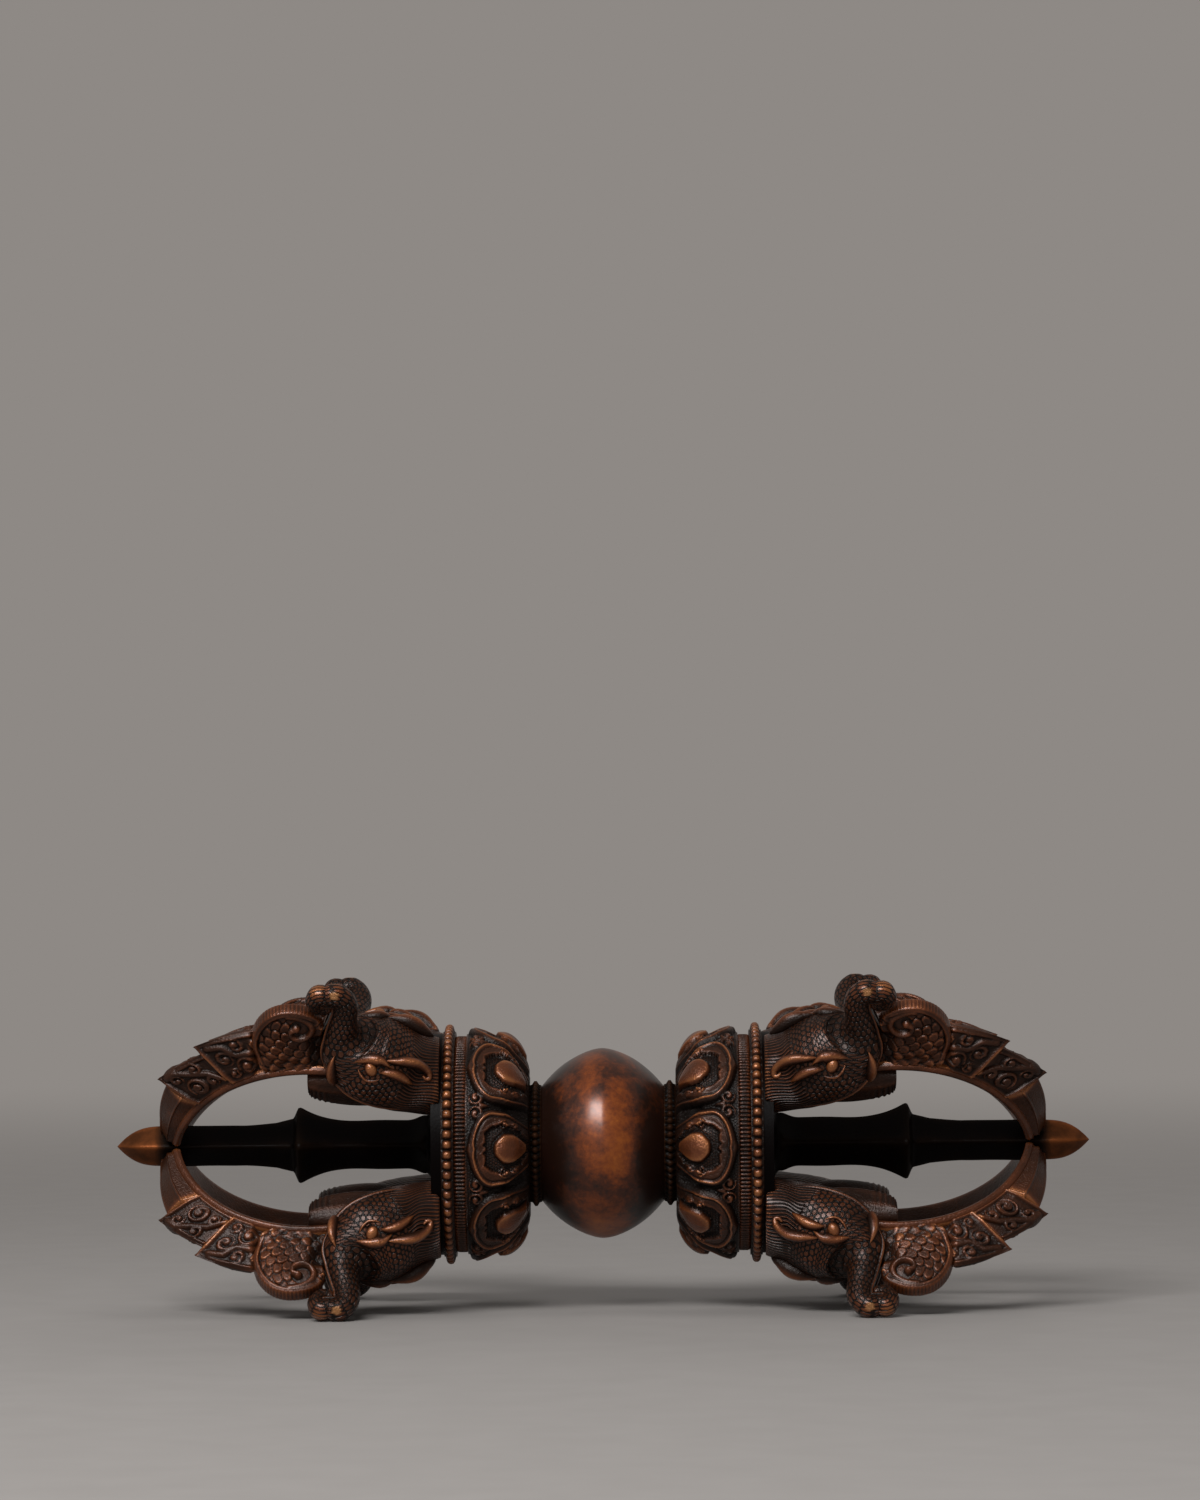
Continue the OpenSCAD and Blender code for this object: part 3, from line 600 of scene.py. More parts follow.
set_inputs(tree, shader, {"Base Color": polished.outputs[2], "Roughness": gloss, "Metallic": metal,
                          "Normal": chasing, "Coat Weight": wax, "Coat Roughness": 0.26,
                          "Specular IOR Level": 0.24})

lotus = wrapped_sheet("right_lotus_base_chased", LOTUS_COLUMNS, LOTUS_ROWS, lotus_form)
rub_high_points(lotus, passes=70, depth=0.75)
fit_pair(lotus, "left_lotus_base_chased", chased_copper, "lotus_base")

# Ribbed bands: the foot of each lotus base, cut all round with narrow grooves that leave low ribs, which are
# drawn a little coarser than they are so that they show. They close the bowl against the bead ring.
BAND_R = 27.5
BAND_RIBS = 160
BAND_COLUMNS, BAND_ROWS = 6 * BAND_RIBS, 12
RIB_LIFT, RIB_GROOVE = 0.25, 0.7
BAND_TOUCH = -0.2
ring_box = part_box("right_bead_ring")
band_x = bowl_x + BOWL_LEN
ring_x = ring_box[0][0] / MM
band_outline = turned_rows(np.array([band_x - 0.3, band_x - 0.3, band_x, ring_x - 0.3, ring_x, ring_x]),
                           np.array([BAND_R - 2, BAND_R - 0.4, BAND_R, BAND_R, BAND_R - 0.4, BAND_R - 2]),
                           BAND_ROWS)


def band_form(across, along):
    turn = 2 * math.pi * across
    x, r, _, _ = band_outline(along)
    groove = np.abs(np.cos(turn * BAND_RIBS / 2)) ** 5
    r = r + np.where(r > BAND_R - 0.5, RIB_LIFT - RIB_GROOVE * groove, 0)
    return x, -r * np.sin(turn), AXIS_Z + r * np.cos(turn), {"wear_and_shade": np.full_like(r, BAND_TOUCH)}


band = wrapped_sheet("right_ribbed_band", BAND_COLUMNS, BAND_ROWS, band_form)
rub_high_points(band, passes=8, depth=0.4)
fit_pair(band, "left_ribbed_band", chased_copper, "lotus_base")

# Bead rings: rings of seventy-two beads, cast in one piece and rubbed bright on their tops.
# Each slips over the step of its lotus base and is clamped there by the prong seat.
RING_BEADS = 72
RING_BEAD_HALF = (1.3, 1.3)
RING_R = 29.2
RING_BEAD_TOP = 30.8
RING_BORE_R = 25.9
RING_COLUMNS, RING_ROWS = 10 * RING_BEADS, 26
RING_TOUCH = -0.1
bead_ring = wrapped_sheet("right_bead_ring_cast", RING_COLUMNS, RING_ROWS, beaded_ring_form(
    ring_box, RING_BEADS, RING_BEAD_HALF, RING_R, RING_BEAD_TOP, RING_BORE_R, RING_ROWS, RING_TOUCH))
rub_high_points(bead_ring, passes=20, depth=0.6)
fit_pair(bead_ring, "left_bead_ring_cast", chased_copper, "bead_ring")

# Prong seats: plain turned plates behind the heads, which carry the tenons of the five prongs.
# Their CAD solids are right, and stay, near black as painted shade, for they lie in shade behind the heads.
for seat_name in ("left_prong_seat", "right_prong_seat"):
    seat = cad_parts[seat_name]
    seat.data.materials.clear()
    seat.data.materials.append(dark_patina)

# Centre prongs: square shafts forged with their flats towards the outer prongs, a flared collar half-way
# along and a blunt polished point, planted in the seat over the core rod.
face_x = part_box("right_prong_seat")[1][0] / MM
SHAFT_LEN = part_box("right_centre_prong")[1][0] / MM - face_x
SHAFT_HALF = 4.6
SHAFT_TIP_HALF = 3.8
FLARE_HALF = 7.2
FLARE_FROM = 21.2
FLARE_AT = 34.2
FOOT_R = 12.5
FOOT_LEN = 7.0
FINIAL_LEN = 11.7
SHAFT_COLUMNS, SHAFT_ROWS = 64, 160
FORGE_MM = 13
FORGE_SWELL = 0.02
SHAFT_GLINT, SHAFT_TOUCH = 0.5, 0.05
foot_turn = np.radians(np.linspace(0, 90, 20))
flare_share = np.linspace(0, 1, 30)
finial_share = np.linspace(0.02, 1, 40)
shaft_p = np.concatenate([
    [0], FOOT_LEN * (1 - np.cos(foot_turn)), FLARE_FROM + (FLARE_AT - FLARE_FROM) * flare_share,
    FLARE_AT + np.array([0.7, 1.2, 2.0, 6.4, 14.4]), SHAFT_LEN - FINIAL_LEN * (1 - finial_share)])
shaft_half = np.concatenate([
    [0], FOOT_R - (FOOT_R - SHAFT_HALF) * np.sin(foot_turn),
    SHAFT_HALF + (FLARE_HALF - SHAFT_HALF) * flare_share ** 2.2,
    [FLARE_HALF, FLARE_HALF - 0.8, SHAFT_HALF + 0.4, 4.2, SHAFT_TIP_HALF],
    SHAFT_TIP_HALF * (1 - finial_share ** 2.6)])
shaft_run = np.concatenate([[0], np.cumsum(np.hypot(np.diff(shaft_p), np.diff(shaft_half)))])


def shaft_form(across, along):
    p = np.interp(along * shaft_run[-1], shaft_run, shaft_p)
    half = np.interp(along * shaft_run[-1], shaft_run, shaft_half)
    turn = 2 * math.pi * across
    squareness = 2 + 16 * smooth_step(FOOT_LEN * 0.2, FOOT_LEN, p)
    corner = np.abs(np.cos(turn)) ** squareness + np.abs(np.sin(turn)) ** squareness
    radius = half * corner ** (-1 / squareness)
    y, z = radius * np.cos(turn + math.pi / 4), radius * np.sin(turn + math.pi / 4)
    swell = 1 + FORGE_SWELL * wander(p, y, z, FORGE_MM)
    tip = smooth_step(SHAFT_LEN - FINIAL_LEN - 2, SHAFT_LEN - FINIAL_LEN + 2, p)
    return face_x + p, y * swell, AXIS_Z + z * swell, {"tip": tip}


centre_prong = wrapped_sheet("right_centre_prong_forged", SHAFT_COLUMNS, SHAFT_ROWS, shaft_form)
rub_high_points(centre_prong, passes=20, depth=0.5)
tip_share, edge_rub = (np.empty(len(centre_prong.data.vertices), dtype=np.float32) for _ in range(2))
centre_prong.data.attributes["tip"].data.foreach_get("value", tip_share)
centre_prong.data.attributes["rub"].data.foreach_get("value", edge_rub)
# The shaft is kept near black as painted shade between the prongs; its edges are a little lighter and its
# point polished.
point_values(centre_prong, "rub", (edge_rub - 0.5) * SHAFT_GLINT + SHAFT_TOUCH + tip_share)
fit_pair(centre_prong, "left_centre_prong_forged", dark_patina, "centre_prong")

# Outer prongs: eight arched prongs, cast in lost wax and chased, that come out of the mouths of makaras.
# First the head and trunk, on a spine in p along the axis from the seat, w across and h out from the axis.
# The skin is combed at the neck and pebbled by a punch, drawn a little coarser than it is so that it shows.
SPINE = np.array([
    [0, 25.6, 10.2, 9.4], [5.5, 27.8, 10.9, 10.2], [12, 30.8, 11.7, 11.0], [17.4, 33.8, 10.8, 10.4],
    [21.4, 38.2, 8.2, 7.4], [22.2, 42.6, 5.4, 4.6], [21.6, 47.0, 4.2, 3.7], [20.9, 50.8, 3.5, 3.3],
    [21.4, 54.0, 3.1, 3.1], [23.4, 55.7, 3.0, 3.0], [25.5, 55.2, 2.7, 2.7], [27.2, 55.6, 2.8, 2.8],
    [28.4, 53.6, 2.5, 2.5], [27.3, 51.4, 2.0, 2.0], [25.5, 51.2, 1.6, 1.6], [25.0, 52.7, 1.2, 1.2]])
LAST_STATION = len(SPINE) - 1
HEAD_HALF_W, TRUNK_HALF_W = 10.9, 4.6
PEBBLE_MM = 1.65
HAIR_MM = 1.0
HAIR_LEN = 11.0
NECK_FLARE = 2.1
EYE_STATION, EYE_TURN = 3.1, 60
SKIN_SWELL, SKIN_SWELL_MM = 0.12, 7
MAKARA_TOUCH = 0.06

# Swellings and hollows of the flesh: station, turn in degrees, how far they reach in each, and lift.
FLESH = {
    "snout": (3.75, 0, 0.6, 34, 1.5), "crown": (2.6, 0, 0.8, 22, 0.5),
    "eye_socket": (EYE_STATION, EYE_TURN, 0.26, 13, -0.9), "cheek": (2.9, 104, 0.55, 24, 0.7),
    "temple": (1.6, 66, 0.5, 15, -0.6), "trunk_root": (4.25, 30, 0.5, 40, 0.9)}


def on_curve(stations, k):
    """Point on the smooth curve through the stations, with k counted in stations."""
    k = np.clip(k, 0, len(stations) - 1)
    i = np.minimum(k.astype(int), len(stations) - 2)
    t = (k - i)[:, None]
    a, b = stations[np.maximum(i - 1, 0)], stations[i]
    c, d = stations[i + 1], stations[np.minimum(i + 2, len(stations) - 1)]
    return (2 * b + (c - a) * t + (2 * a - 5 * b + 4 * c - d) * t ** 2 + (3 * b - a - 3 * c + d) * t ** 3) / 2


def on_makara(k, turn, lift):
    """Point at station k of the spine and turned round it, 0 outwards from the axis, lift above the skin."""
    here = on_curve(SPINE, k)
    step = on_curve(SPINE, k + 0.02) - on_curve(SPINE, k - 0.02)
    ahead = np.stack([step[:, 0], step[:, 1] * np.minimum(1, k / 2)], axis=1)
    ahead /= np.linalg.norm(ahead, axis=1)[:, None]
    tip = np.sqrt(np.clip(1 - (np.maximum(0, k - LAST_STATION + 0.7) / 0.7) ** 2, 0, 1))
    out = (here[:, 3] * tip + lift) * np.cos(turn)
    across = (here[:, 2] * tip + lift) * np.sin(turn)
    return np.stack([here[:, 0] - ahead[:, 1] * out, across, here[:, 1] + ahead[:, 0] * out], axis=1)


fine_k = np.linspace(0, LAST_STATION, 900)
fine_spine = on_curve(SPINE, fine_k)
spine_run = np.concatenate([[0], np.cumsum(np.hypot(*np.diff(fine_spine[:, :2], axis=0).T))])


def makara_form(across, along):
    run = np.maximum(0, along - 0.01) / 0.99 * spine_run[-1]
    k = np.interp(run, spine_run, fine_k)
    turn = 2 * math.pi * (across - 0.5)
    aside = np.degrees(np.abs(turn))
    lift = sum(rise * np.exp(-((k - at_k) / half_k) ** 2 - ((aside - at_turn) / half_turn) ** 2)
               for at_k, at_turn, half_k, half_turn, rise in FLESH.values())
    lift = lift + SKIN_SWELL * wander(*on_makara(k, turn, lift).T, SKIN_SWELL_MM)
    p, w, h = on_makara(k, turn, lift).T
    flare = smooth_step(27.4, 29.0, np.hypot(w, h)) * smooth_step(4.0, 0.0, run)
    p = p - NECK_FLARE * flare
    w, h = np.where(along < 0.005, 0, w), np.where(along < 0.005, SPINE[0][1], h)
    around = turn * np.interp(k, [3.4, 4.4], [HEAD_HALF_W, TRUNK_HALF_W])
    skin = np.stack([run, around, 0 * run], axis=1) / PEBBLE_MM
    strands = 2 * math.pi / HAIR_MM * (around + 0.5 * np.sin(0.7 * run + 2 * turn))
    hair = np.where(run < HAIR_LEN + 3, strands, 0)
    inside = smooth_step(148, 160, aside) * smooth_step(18, 22, run)
    combed = smooth_step(HAIR_LEN, HAIR_LEN - 2.5, run + 2.5 * np.cos(turn))
    matted = (1 - combed) * (1 - inside)
    # Painted shade: the inner side of the trunk and the root of the neck at the seat are darkened.
    wear_and_shade = MAKARA_TOUCH - 0.2 * combed - 0.3 * inside - 0.3 * smooth_step(2.0, 0.6, run)
    return face_x + p, w, h, {"skin": skin, "matted": matted, "hair": hair, "wear_and_shade": wear_and_shade}


makara = wrapped_sheet("makara", columns=120, rows=200, form=makara_form)
rub_high_points(makara, passes=30, depth=0.9)
parts = [makara]

# Jaw: the lower jaw under each head, smooth inside, with a ribbed end and a thin gum line, darkened all over
# as painted shade where it lies under the head.
# It is cast with the head and lies along the inner side of the prong.
JAW_LOW = np.array([[1, 24.0], [6, 22.3], [10, 20.6], [14, 19.7], [20, 19.6], [26, 20.8], [30.2, 22.9],
                    [31.2, 25.6]])
JAW_HALF_W = 7.0
JAW_TOP = 31.4
JAW_BOXINESS = 0.62
JAW_SHADE = -0.16


def jaw_form(across, along):
    low = on_curve(JAW_LOW, np.clip(along * 1.04, 0, 1) * (len(JAW_LOW) - 1))
    end = np.sqrt(np.clip(1 - (np.maximum(0, along - 0.93) / 0.07) ** 2, 0, 1)) * (along > 0.005)
    middle, half = (low[:, 1] + JAW_TOP) / 2, (JAW_TOP - low[:, 1]) / 2
    turn = 2 * math.pi * across
    out = np.sign(np.cos(turn)) * np.abs(np.cos(turn)) ** JAW_BOXINESS
    side = np.sign(np.sin(turn)) * np.abs(np.sin(turn)) ** JAW_BOXINESS
    rib = 1 + 0.035 * np.cos(along * 150) * smooth_step(0.62, 0.75, along) * (out < 0.2)
    gum = 1 + 0.05 * ridge(out * half - 1.2, 0.7)
    return (face_x + low[:, 0], side * JAW_HALF_W * (1 - 0.12 * along) * end * rib * gum,
            middle + out * half * end * rib, {"wear_and_shade": np.full_like(along, JAW_SHADE)})


jaw = wrapped_sheet("jaw", columns=56, rows=80, form=jaw_form)
rub_high_points(jaw, passes=20, depth=0.9)
parts.append(jaw)

# Face: brows, horns, ears, lips, eyes and fangs, raised from the skin in the wax and left polished.
# Each strand follows the skin of the makara, by station, turn in degrees, lift, half width and half height,
# and rises to a sharp crest.
STRANDS = {
    "brow": [[4.0, 68, 0.0, 0.1, 0.1], [3.8, 57, 0.2, 0.9, 0.9], [3.5, 48, 0.3, 1.45, 1.4],
             [3.1, 44, 0.4, 1.6, 1.5], [2.7, 43, 0.3, 1.2, 1.2], [2.35, 45, 0.2, 0.6, 0.7],
             [2.15, 47, 0.0, 0.1, 0.1]],
    "under_eye": [[3.6, 71, 0.0, 0.1, 0.1], [3.35, 75, 0.1, 0.4, 0.45], [3.0, 76, 0.1, 0.45, 0.5],
                  [2.65, 71, 0.1, 0.4, 0.45], [2.45, 66, 0.0, 0.1, 0.1]],
    "horn": [[2.5, 41, 0.0, 0.1, 0.1], [2.15, 38, 0.4, 0.9, 1.1], [1.75, 35, 0.9, 1.35, 1.7],
             [1.3, 33, 1.3, 1.5, 2.0], [0.85, 32, 1.4, 1.4, 1.8], [0.45, 33, 1.1, 1.2, 1.4],
             [0.12, 37, 0.7, 1.0, 1.1], [0.1, 43, 0.4, 0.9, 0.9], [0.35, 46, 0.2, 0.7, 0.7],
             [0.55, 43, 0.1, 0.35, 0.4]],
    "ear": [[2.55, 58, 0.0, 0.1, 0.1], [2.35, 55, 0.3, 0.9, 1.0], [1.98, 53, 0.4, 1.4, 1.4],
            [1.6, 54, 0.4, 1.4, 1.3], [1.25, 57, 0.3, 0.9, 0.9], [0.98, 60, 0.0, 0.1, 0.1]],
    "lip": [[1.2, 112, 0.0, 0.1, 0.1], [1.8, 114, 0.1, 0.45, 0.5], [2.6, 117, 0.2, 0.5, 0.6],
            [3.3, 124, 0.2, 0.5, 0.6], [3.8, 134, 0.1, 0.45, 0.5], [4.1, 140, 0.0, 0.1, 0.1]],
    "trunk_lip": [[3.9, 138, 0.0, 0.1, 0.1], [4.4, 146, 0.1, 0.42, 0.5], [5.1, 152, 0.1, 0.42, 0.5],
                  [6.2, 154, 0.1, 0.38, 0.45], [8.0, 150, 0.1, 0.35, 0.4], [10.0, 146, 0.1, 0.32, 0.4],
                  [12.0, 140, 0.0, 0.28, 0.3], [13.4, 136, 0.0, 0.1, 0.1]],
    "fang": [[3.35, 136, -0.3, 0.2, 0.2], [3.52, 131, 0.4, 1.15, 1.1], [3.8, 124, 0.7, 1.45, 1.5],
             [4.1, 117, 0.7, 1.2, 1.3], [4.38, 111, 0.4, 0.6, 0.6], [4.55, 107, 0.2, 0.05, 0.05]],
}
EYE_HALF = (2.1, 1.6, 1.6)
EYE_SUNK = 0.5


def frame_on_skin(k, turn, lift, dk, dturn):
    """Point on the makara with its directions along a strand, across it and out of the skin."""
    centre = on_makara(k, turn, lift)
    tangent = on_makara(k + dk, turn + dturn, lift) - on_makara(k - dk, turn - dturn, lift)
    tangent /= np.maximum(np.linalg.norm(tangent, axis=1), 1e-9)[:, None]
    normal = on_makara(k, turn, lift + 1) - centre
    normal -= tangent * (normal * tangent).sum(axis=1)[:, None]
    normal /= np.maximum(np.linalg.norm(normal, axis=1), 1e-9)[:, None]
    return centre, tangent, np.cross(tangent, normal), normal


def strand_form(path):
    """Form of one strand with a sharp crest and hollow flanks, that tapers at both ends."""
    path = np.array(path, dtype=float)

    def form(across, along):
        k = along * (len(path) - 1)
        here = on_curve(path, k)
        step = on_curve(path, k + 0.05) - on_curve(path, k - 0.05)
        centre, _, side, normal = frame_on_skin(here[:, 0], np.radians(here[:, 1]), here[:, 2],
                                                step[:, 0], np.radians(step[:, 1]))
        turn = 2 * math.pi * across
        rise = np.where(np.sin(turn) > 0, np.sin(turn) ** 1.4, np.sin(turn))
        point = centre + side * (here[:, 3] * np.cos(turn))[:, None] + normal * (here[:, 4] * rise)[:, None]
        return (face_x + point[:, 0], point[:, 1], point[:, 2],
                {"rub": 0.3 + 0.62 * np.clip(np.sin(turn), 0, 1) ** 2})
    return form


def eye_form(across, along):
    """Round eye, set in its socket under the brow."""
    turn, rise = 2 * math.pi * across, math.pi * (along - 0.5)
    centre, ahead, side, normal = frame_on_skin(
        np.array([EYE_STATION]), np.radians([EYE_TURN]), np.array([-EYE_SUNK]), 0.05, np.radians(-1))
    point = (centre + np.outer(EYE_HALF[0] * np.cos(rise) * np.cos(turn), ahead[0])
             + np.outer(EYE_HALF[1] * np.cos(rise) * np.sin(turn), side[0])
             + np.outer(EYE_HALF[2] * np.sin(rise), normal[0]))
    return (face_x + point[:, 0], point[:, 1], point[:, 2],
            {"rub": 0.35 + 0.6 * smooth_step(0.1, 0.8, np.sin(rise))})


face_parts = [wrapped_sheet(name, columns=12, rows=max(24, 5 * len(path)), form=strand_form(path))
              for name, path in STRANDS.items()]
face_parts.append(wrapped_sheet("eye", columns=20, rows=12, form=eye_form))
for part in face_parts:
    parts += [part, copy_piece(part, "far_" + part.name, Matrix.Scale(-1, 4, (0, 1, 0)))]

# Fin: the curled, scaled fin that rises from each mouth behind the trunk. Its scales lap over one another
# round a volute beside the trunk, inside a thin rim that is ribbed on its edge. It is chased on both sides.
FIN_OUTLINE = np.array([[41.4, 33.2], [43.6, 36.6], [44.3, 40.8], [42.9, 45.4], [40.0, 49.0], [36.2, 50.6],
                        [31.8, 50.2], [28.4, 48.2], [27.2, 45.0], [27.8, 42.0], [26.4, 37.6], [25.0, 33.2],
                        [33.0, 32.4]])
FIN_MIDDLE = np.array([35.2, 42.2])
FIN_HALF_AT, FIN_HALF = [32, 36, 40, 44, 51], [4.8, 4.5, 3.7, 3.0, 2.3]
FIN_RIM_SHARE = 0.88
RIM_IN, RIM_HALF, RIM_LIFT = 0.45, 0.55, 0.6
VOLUTE = np.array([32.2, 45.0])
VOLUTE_PATH = np.array([[38.0, 49.4], [35.4, 49.8], [32.4, 49.2], [30.0, 47.6], [29.3, 45.4], [30.4, 43.5],
                        [32.5, 42.9], [34.4, 43.7], [34.7, 45.4], [33.4, 46.1]])
VOLUTE_HALF = (1.05, 0.8)
VOLUTE_BALL_R = 1.1
SCALE_START = 2.7
SCALE_RINGS = 6
SCALE_RING_R = (2.9, 2.3)
SCALE_LEN = 2.9
SCALE_HALF = (2.5, 1.5)
SCALE_LIFT = 1.15


def fin_scales(p, h):
    """Height of the overlapping scales at points of the fin: they lie in rings round the volute, each rises
    to a rounded free end, and the ones nearer the mouth lie on top."""
    dp, dh = p - VOLUTE[0], h - VOLUTE[1]
    scales = []
    for ring in range(SCALE_RINGS):
        ring_r = SCALE_RING_R[0] + SCALE_RING_R[1] * (ring + 0.5)
        count = round(2 * math.pi * ring_r / SCALE_LEN)
        for i in range(count):
            angle = 2 * math.pi * (i + 0.5 * (ring % 2)) / count - SCALE_START
            scales.append((angle % (2 * math.pi), ring_r))
    height = np.zeros_like(p)
    for angle, ring_r in sorted(scales, reverse=True):
        at_p, at_h = ring_r * math.cos(angle - SCALE_START), ring_r * math.sin(angle - SCALE_START)
        along_p, along_h = -at_h / ring_r, at_p / ring_r
        a = ((dp - at_p) * along_p + (dh - at_h) * along_h) / SCALE_HALF[0]
        b = ((dh - at_h) * along_p - (dp - at_p) * along_h) / SCALE_HALF[1]
        inner = 1 - np.hypot(a, b)
        height = np.where(inner > 0, smooth_step(0, 0.2, inner) * (0.65 + 0.35 * np.clip(a, -1, 1)), height)
    return height


def beside_path(p, h, path):
    """Distance from a smooth path and the share along it, for many points."""
    line = on_curve(path, np.linspace(0, len(path) - 1, 12 * len(path)))
    gaps = np.hypot(p[:, None] - line[:, 0], h[:, None] - line[:, 1])
    nearest = gaps.argmin(axis=1)
    return gaps[np.arange(len(p)), nearest], nearest / (len(line) - 1)


def fin_form(across, along):
    """One closed skin over both sides: along runs from the middle of one side over the rim to the other."""
    loop = across * len(FIN_OUTLINE)
    closed = np.vstack([FIN_OUTLINE[-1:], FIN_OUTLINE, FIN_OUTLINE[:3]])
    edge = on_curve(closed, 1 + loop)
    side = np.where(along < 0.5, 1.0, -1.0)
    share = 1 - np.abs(along * 2 - 1)
    inward = np.clip(share / FIN_RIM_SHARE, 0, 1)
    over = np.clip((share - FIN_RIM_SHARE) / (1 - FIN_RIM_SHARE), 0, 1)
    p = FIN_MIDDLE[0] + (edge[:, 0] - FIN_MIDDLE[0]) * inward
    h = FIN_MIDDLE[1] + (edge[:, 1] - FIN_MIDDLE[1]) * inward
    reach = np.hypot(edge[:, 0] - FIN_MIDDLE[0], edge[:, 1] - FIN_MIDDLE[1])
    inside = (1 - inward) * reach
    half = np.interp(h, FIN_HALF_AT, FIN_HALF)
    half *= 1 - 0.36 * smooth_step(5, 0, inside) * smooth_step(33.5, 37, h)
    rimmed = smooth_step(33.5, 36.5, h) * smooth_step(29.5, 32.5, p + 0.9 * (h - 46))
    rim = ridge(inside - RIM_IN, RIM_HALF) * rimmed
    field = np.clip(smooth_step(0.9, 1.2, inside) + (1 - rimmed), 0, 1)
    height = RIM_LIFT * rim + field * (SCALE_LIFT * fin_scales(p, h) - 0.7)
    height -= 0.3 * ridge(inside - 1.05, 0.3) * rimmed
    gap, wound = beside_path(p, h, VOLUTE_PATH)
    thick = VOLUTE_HALF[0] + (VOLUTE_HALF[1] - VOLUTE_HALF[0]) * wound
    ball = ridge(np.hypot(p - VOLUTE_PATH[-1][0], h - VOLUTE_PATH[-1][1]), VOLUTE_BALL_R)
    within = smooth_step(3.2, 2.8, np.hypot(p - VOLUTE[0], h - VOLUTE[1] - 0.6))
    height = height + within * (-0.8 - height)
    volute = np.maximum(ridge(gap, thick) * smooth_step(0, 0.12, wound), ball)
    height = np.maximum(height, 1.5 * volute - 0.75)
    recess = smooth_step(31.5, 29.0, p) * smooth_step(43.4, 41.6, h)
    height = height - 0.9 * recess
    knurl = 0.12 * np.cos(loop * 30) * over
    w = side * (half + height) * np.sqrt(np.clip(1 - over ** 2, 0, 1))
    push = 0.6 * np.sin(over * math.pi / 2) + knurl
    return (face_x + p + (edge[:, 0] - FIN_MIDDLE[0]) / reach * push, w,
            h + (edge[:, 1] - FIN_MIDDLE[1]) / reach * push, {"wear_and_shade": 0.05 - 0.25 * recess})


fin = wrapped_sheet("fin", columns=168, rows=92, form=fin_form)
rub_high_points(fin, passes=12, depth=0.4)
parts.append(fin)

# Blade: the arched prong itself. A smooth rounded rail runs along its inner side, from under the fin to the
# centre prong, and a dark groove parts it from the back.
ARCH_AT, ARCH_LEN, ARCH_RISE = 31.2, 34.0, 31.6
RAIL_HALF, RAIL_T, RAIL_STEP, EDGE_HALF = 5.4, 2.2, 0.8, 0.8
SHAFT_MEETS = math.degrees(math.asin(SHAFT_TIP_HALF / ARCH_RISE))
ARCH_END = 106.0
RAIL_TOUCH = 0.08


def on_arch(degrees):
    """Point on the inner line of the arch, the direction out from it, and half the rail's width there."""
    angle = np.radians(degrees)
    low_p, low_h = ARCH_AT + ARCH_LEN * np.cos(angle), ARCH_RISE * np.sin(angle)
    out_p, out_h = ARCH_RISE * np.cos(angle), ARCH_LEN * np.sin(angle)
    size = np.hypot(out_p, out_h)
    return low_p, low_h, out_p / size, out_h / size, np.minimum(RAIL_HALF, 0.95 * low_h)


def rail_form(across, along):
    closed = (along < 0.003) | (along > 0.997)
    half_turn = 1 - np.abs(across * 2 - 1)
    side = np.where(across < 0.5, 1.0, -1.0)
    low_p, low_h, out_p, out_h, wide = on_arch(SHAFT_MEETS + (ARCH_END - SHAFT_MEETS) * along)
    under, flank, groove, lid = (np.clip((half_turn - low) / (high - low), 0, 1)
                                 for low, high in ((0, 0.3), (0.3, 0.75), (0.75, 0.92), (0.92, 1)))
    bulge = 0.1 * np.sin(math.pi * flank) - 0.14 * np.sin(math.pi / 2 * groove)
    w = wide * (0.9 * under + bulge) * (1 - lid) * ~closed
    s = 0.2 * under ** 2 + (RAIL_T - 0.4) * flank + 0.35 * groove
    return face_x + low_p + out_p * s, side * w, low_h + out_h * s, {"wear_and_shade": np.full_like(s, RAIL_TOUCH)}


rail = wrapped_sheet("rail", columns=40, rows=130, form=rail_form)
rub_high_points(rail, passes=14, depth=0.6)
parts.append(rail)

# Leaves: the back of the blade, two overlapping pointed leaves filled with tendrils, and the plain faceted
# end that closes on the centre prong. A keel runs along each flank, and the back comes to an edge.
KEEL_SHARE = [0.56, 0.3, 0.3]
KEEL_STEP = 0.4
LEAF_SLANT = 5.0
LEAF_SWELL = 0.6
LEAF_CHASING = 0.95
STEM_HALF = 0.9
BLADE_COLUMNS, BLADE_ROWS = 108, [40, 64, 84]
BLADE_TOUCH = [0.06, -0.02, -0.02]
BLADE_ENDS = [SHAFT_MEETS, 34.0, 53.0, ARCH_END]
BLADE_REACH = [[4.9, 6.2, 8.0, 9.7], [12.6, 11.9, 11.4, 11.0], [14.3, 13.2, 11.0, 3.0]]
ARCH_MM_PER_DEGREE = 40 * math.pi / 180
LEAF_CURLS = [
    [(5.6, 3.4, 2.8, 1.5, 1, 0.2), (10.2, 3.0, 1.7, 1.1, -1, 0.0), (3.4, 7.6, 1.6, 1.2, -1, 1.0),
     (9.0, 7.4, 1.7, 1.2, 1, 0.4)],
    [(8.2, 3.5, 2.9, 1.5, 1, 0.2), (4.0, 6.9, 2.2, 1.4, -1, 2.0), (8.6, 9.2, 1.8, 1.3, 1, 1.0),
     (13.0, 7.6, 2.2, 1.4, -1, 0.4), (3.6, 2.7, 1.5, 1.1, 1, 0.0), (13.2, 2.8, 1.6, 1.1, -1, 0.0)]]
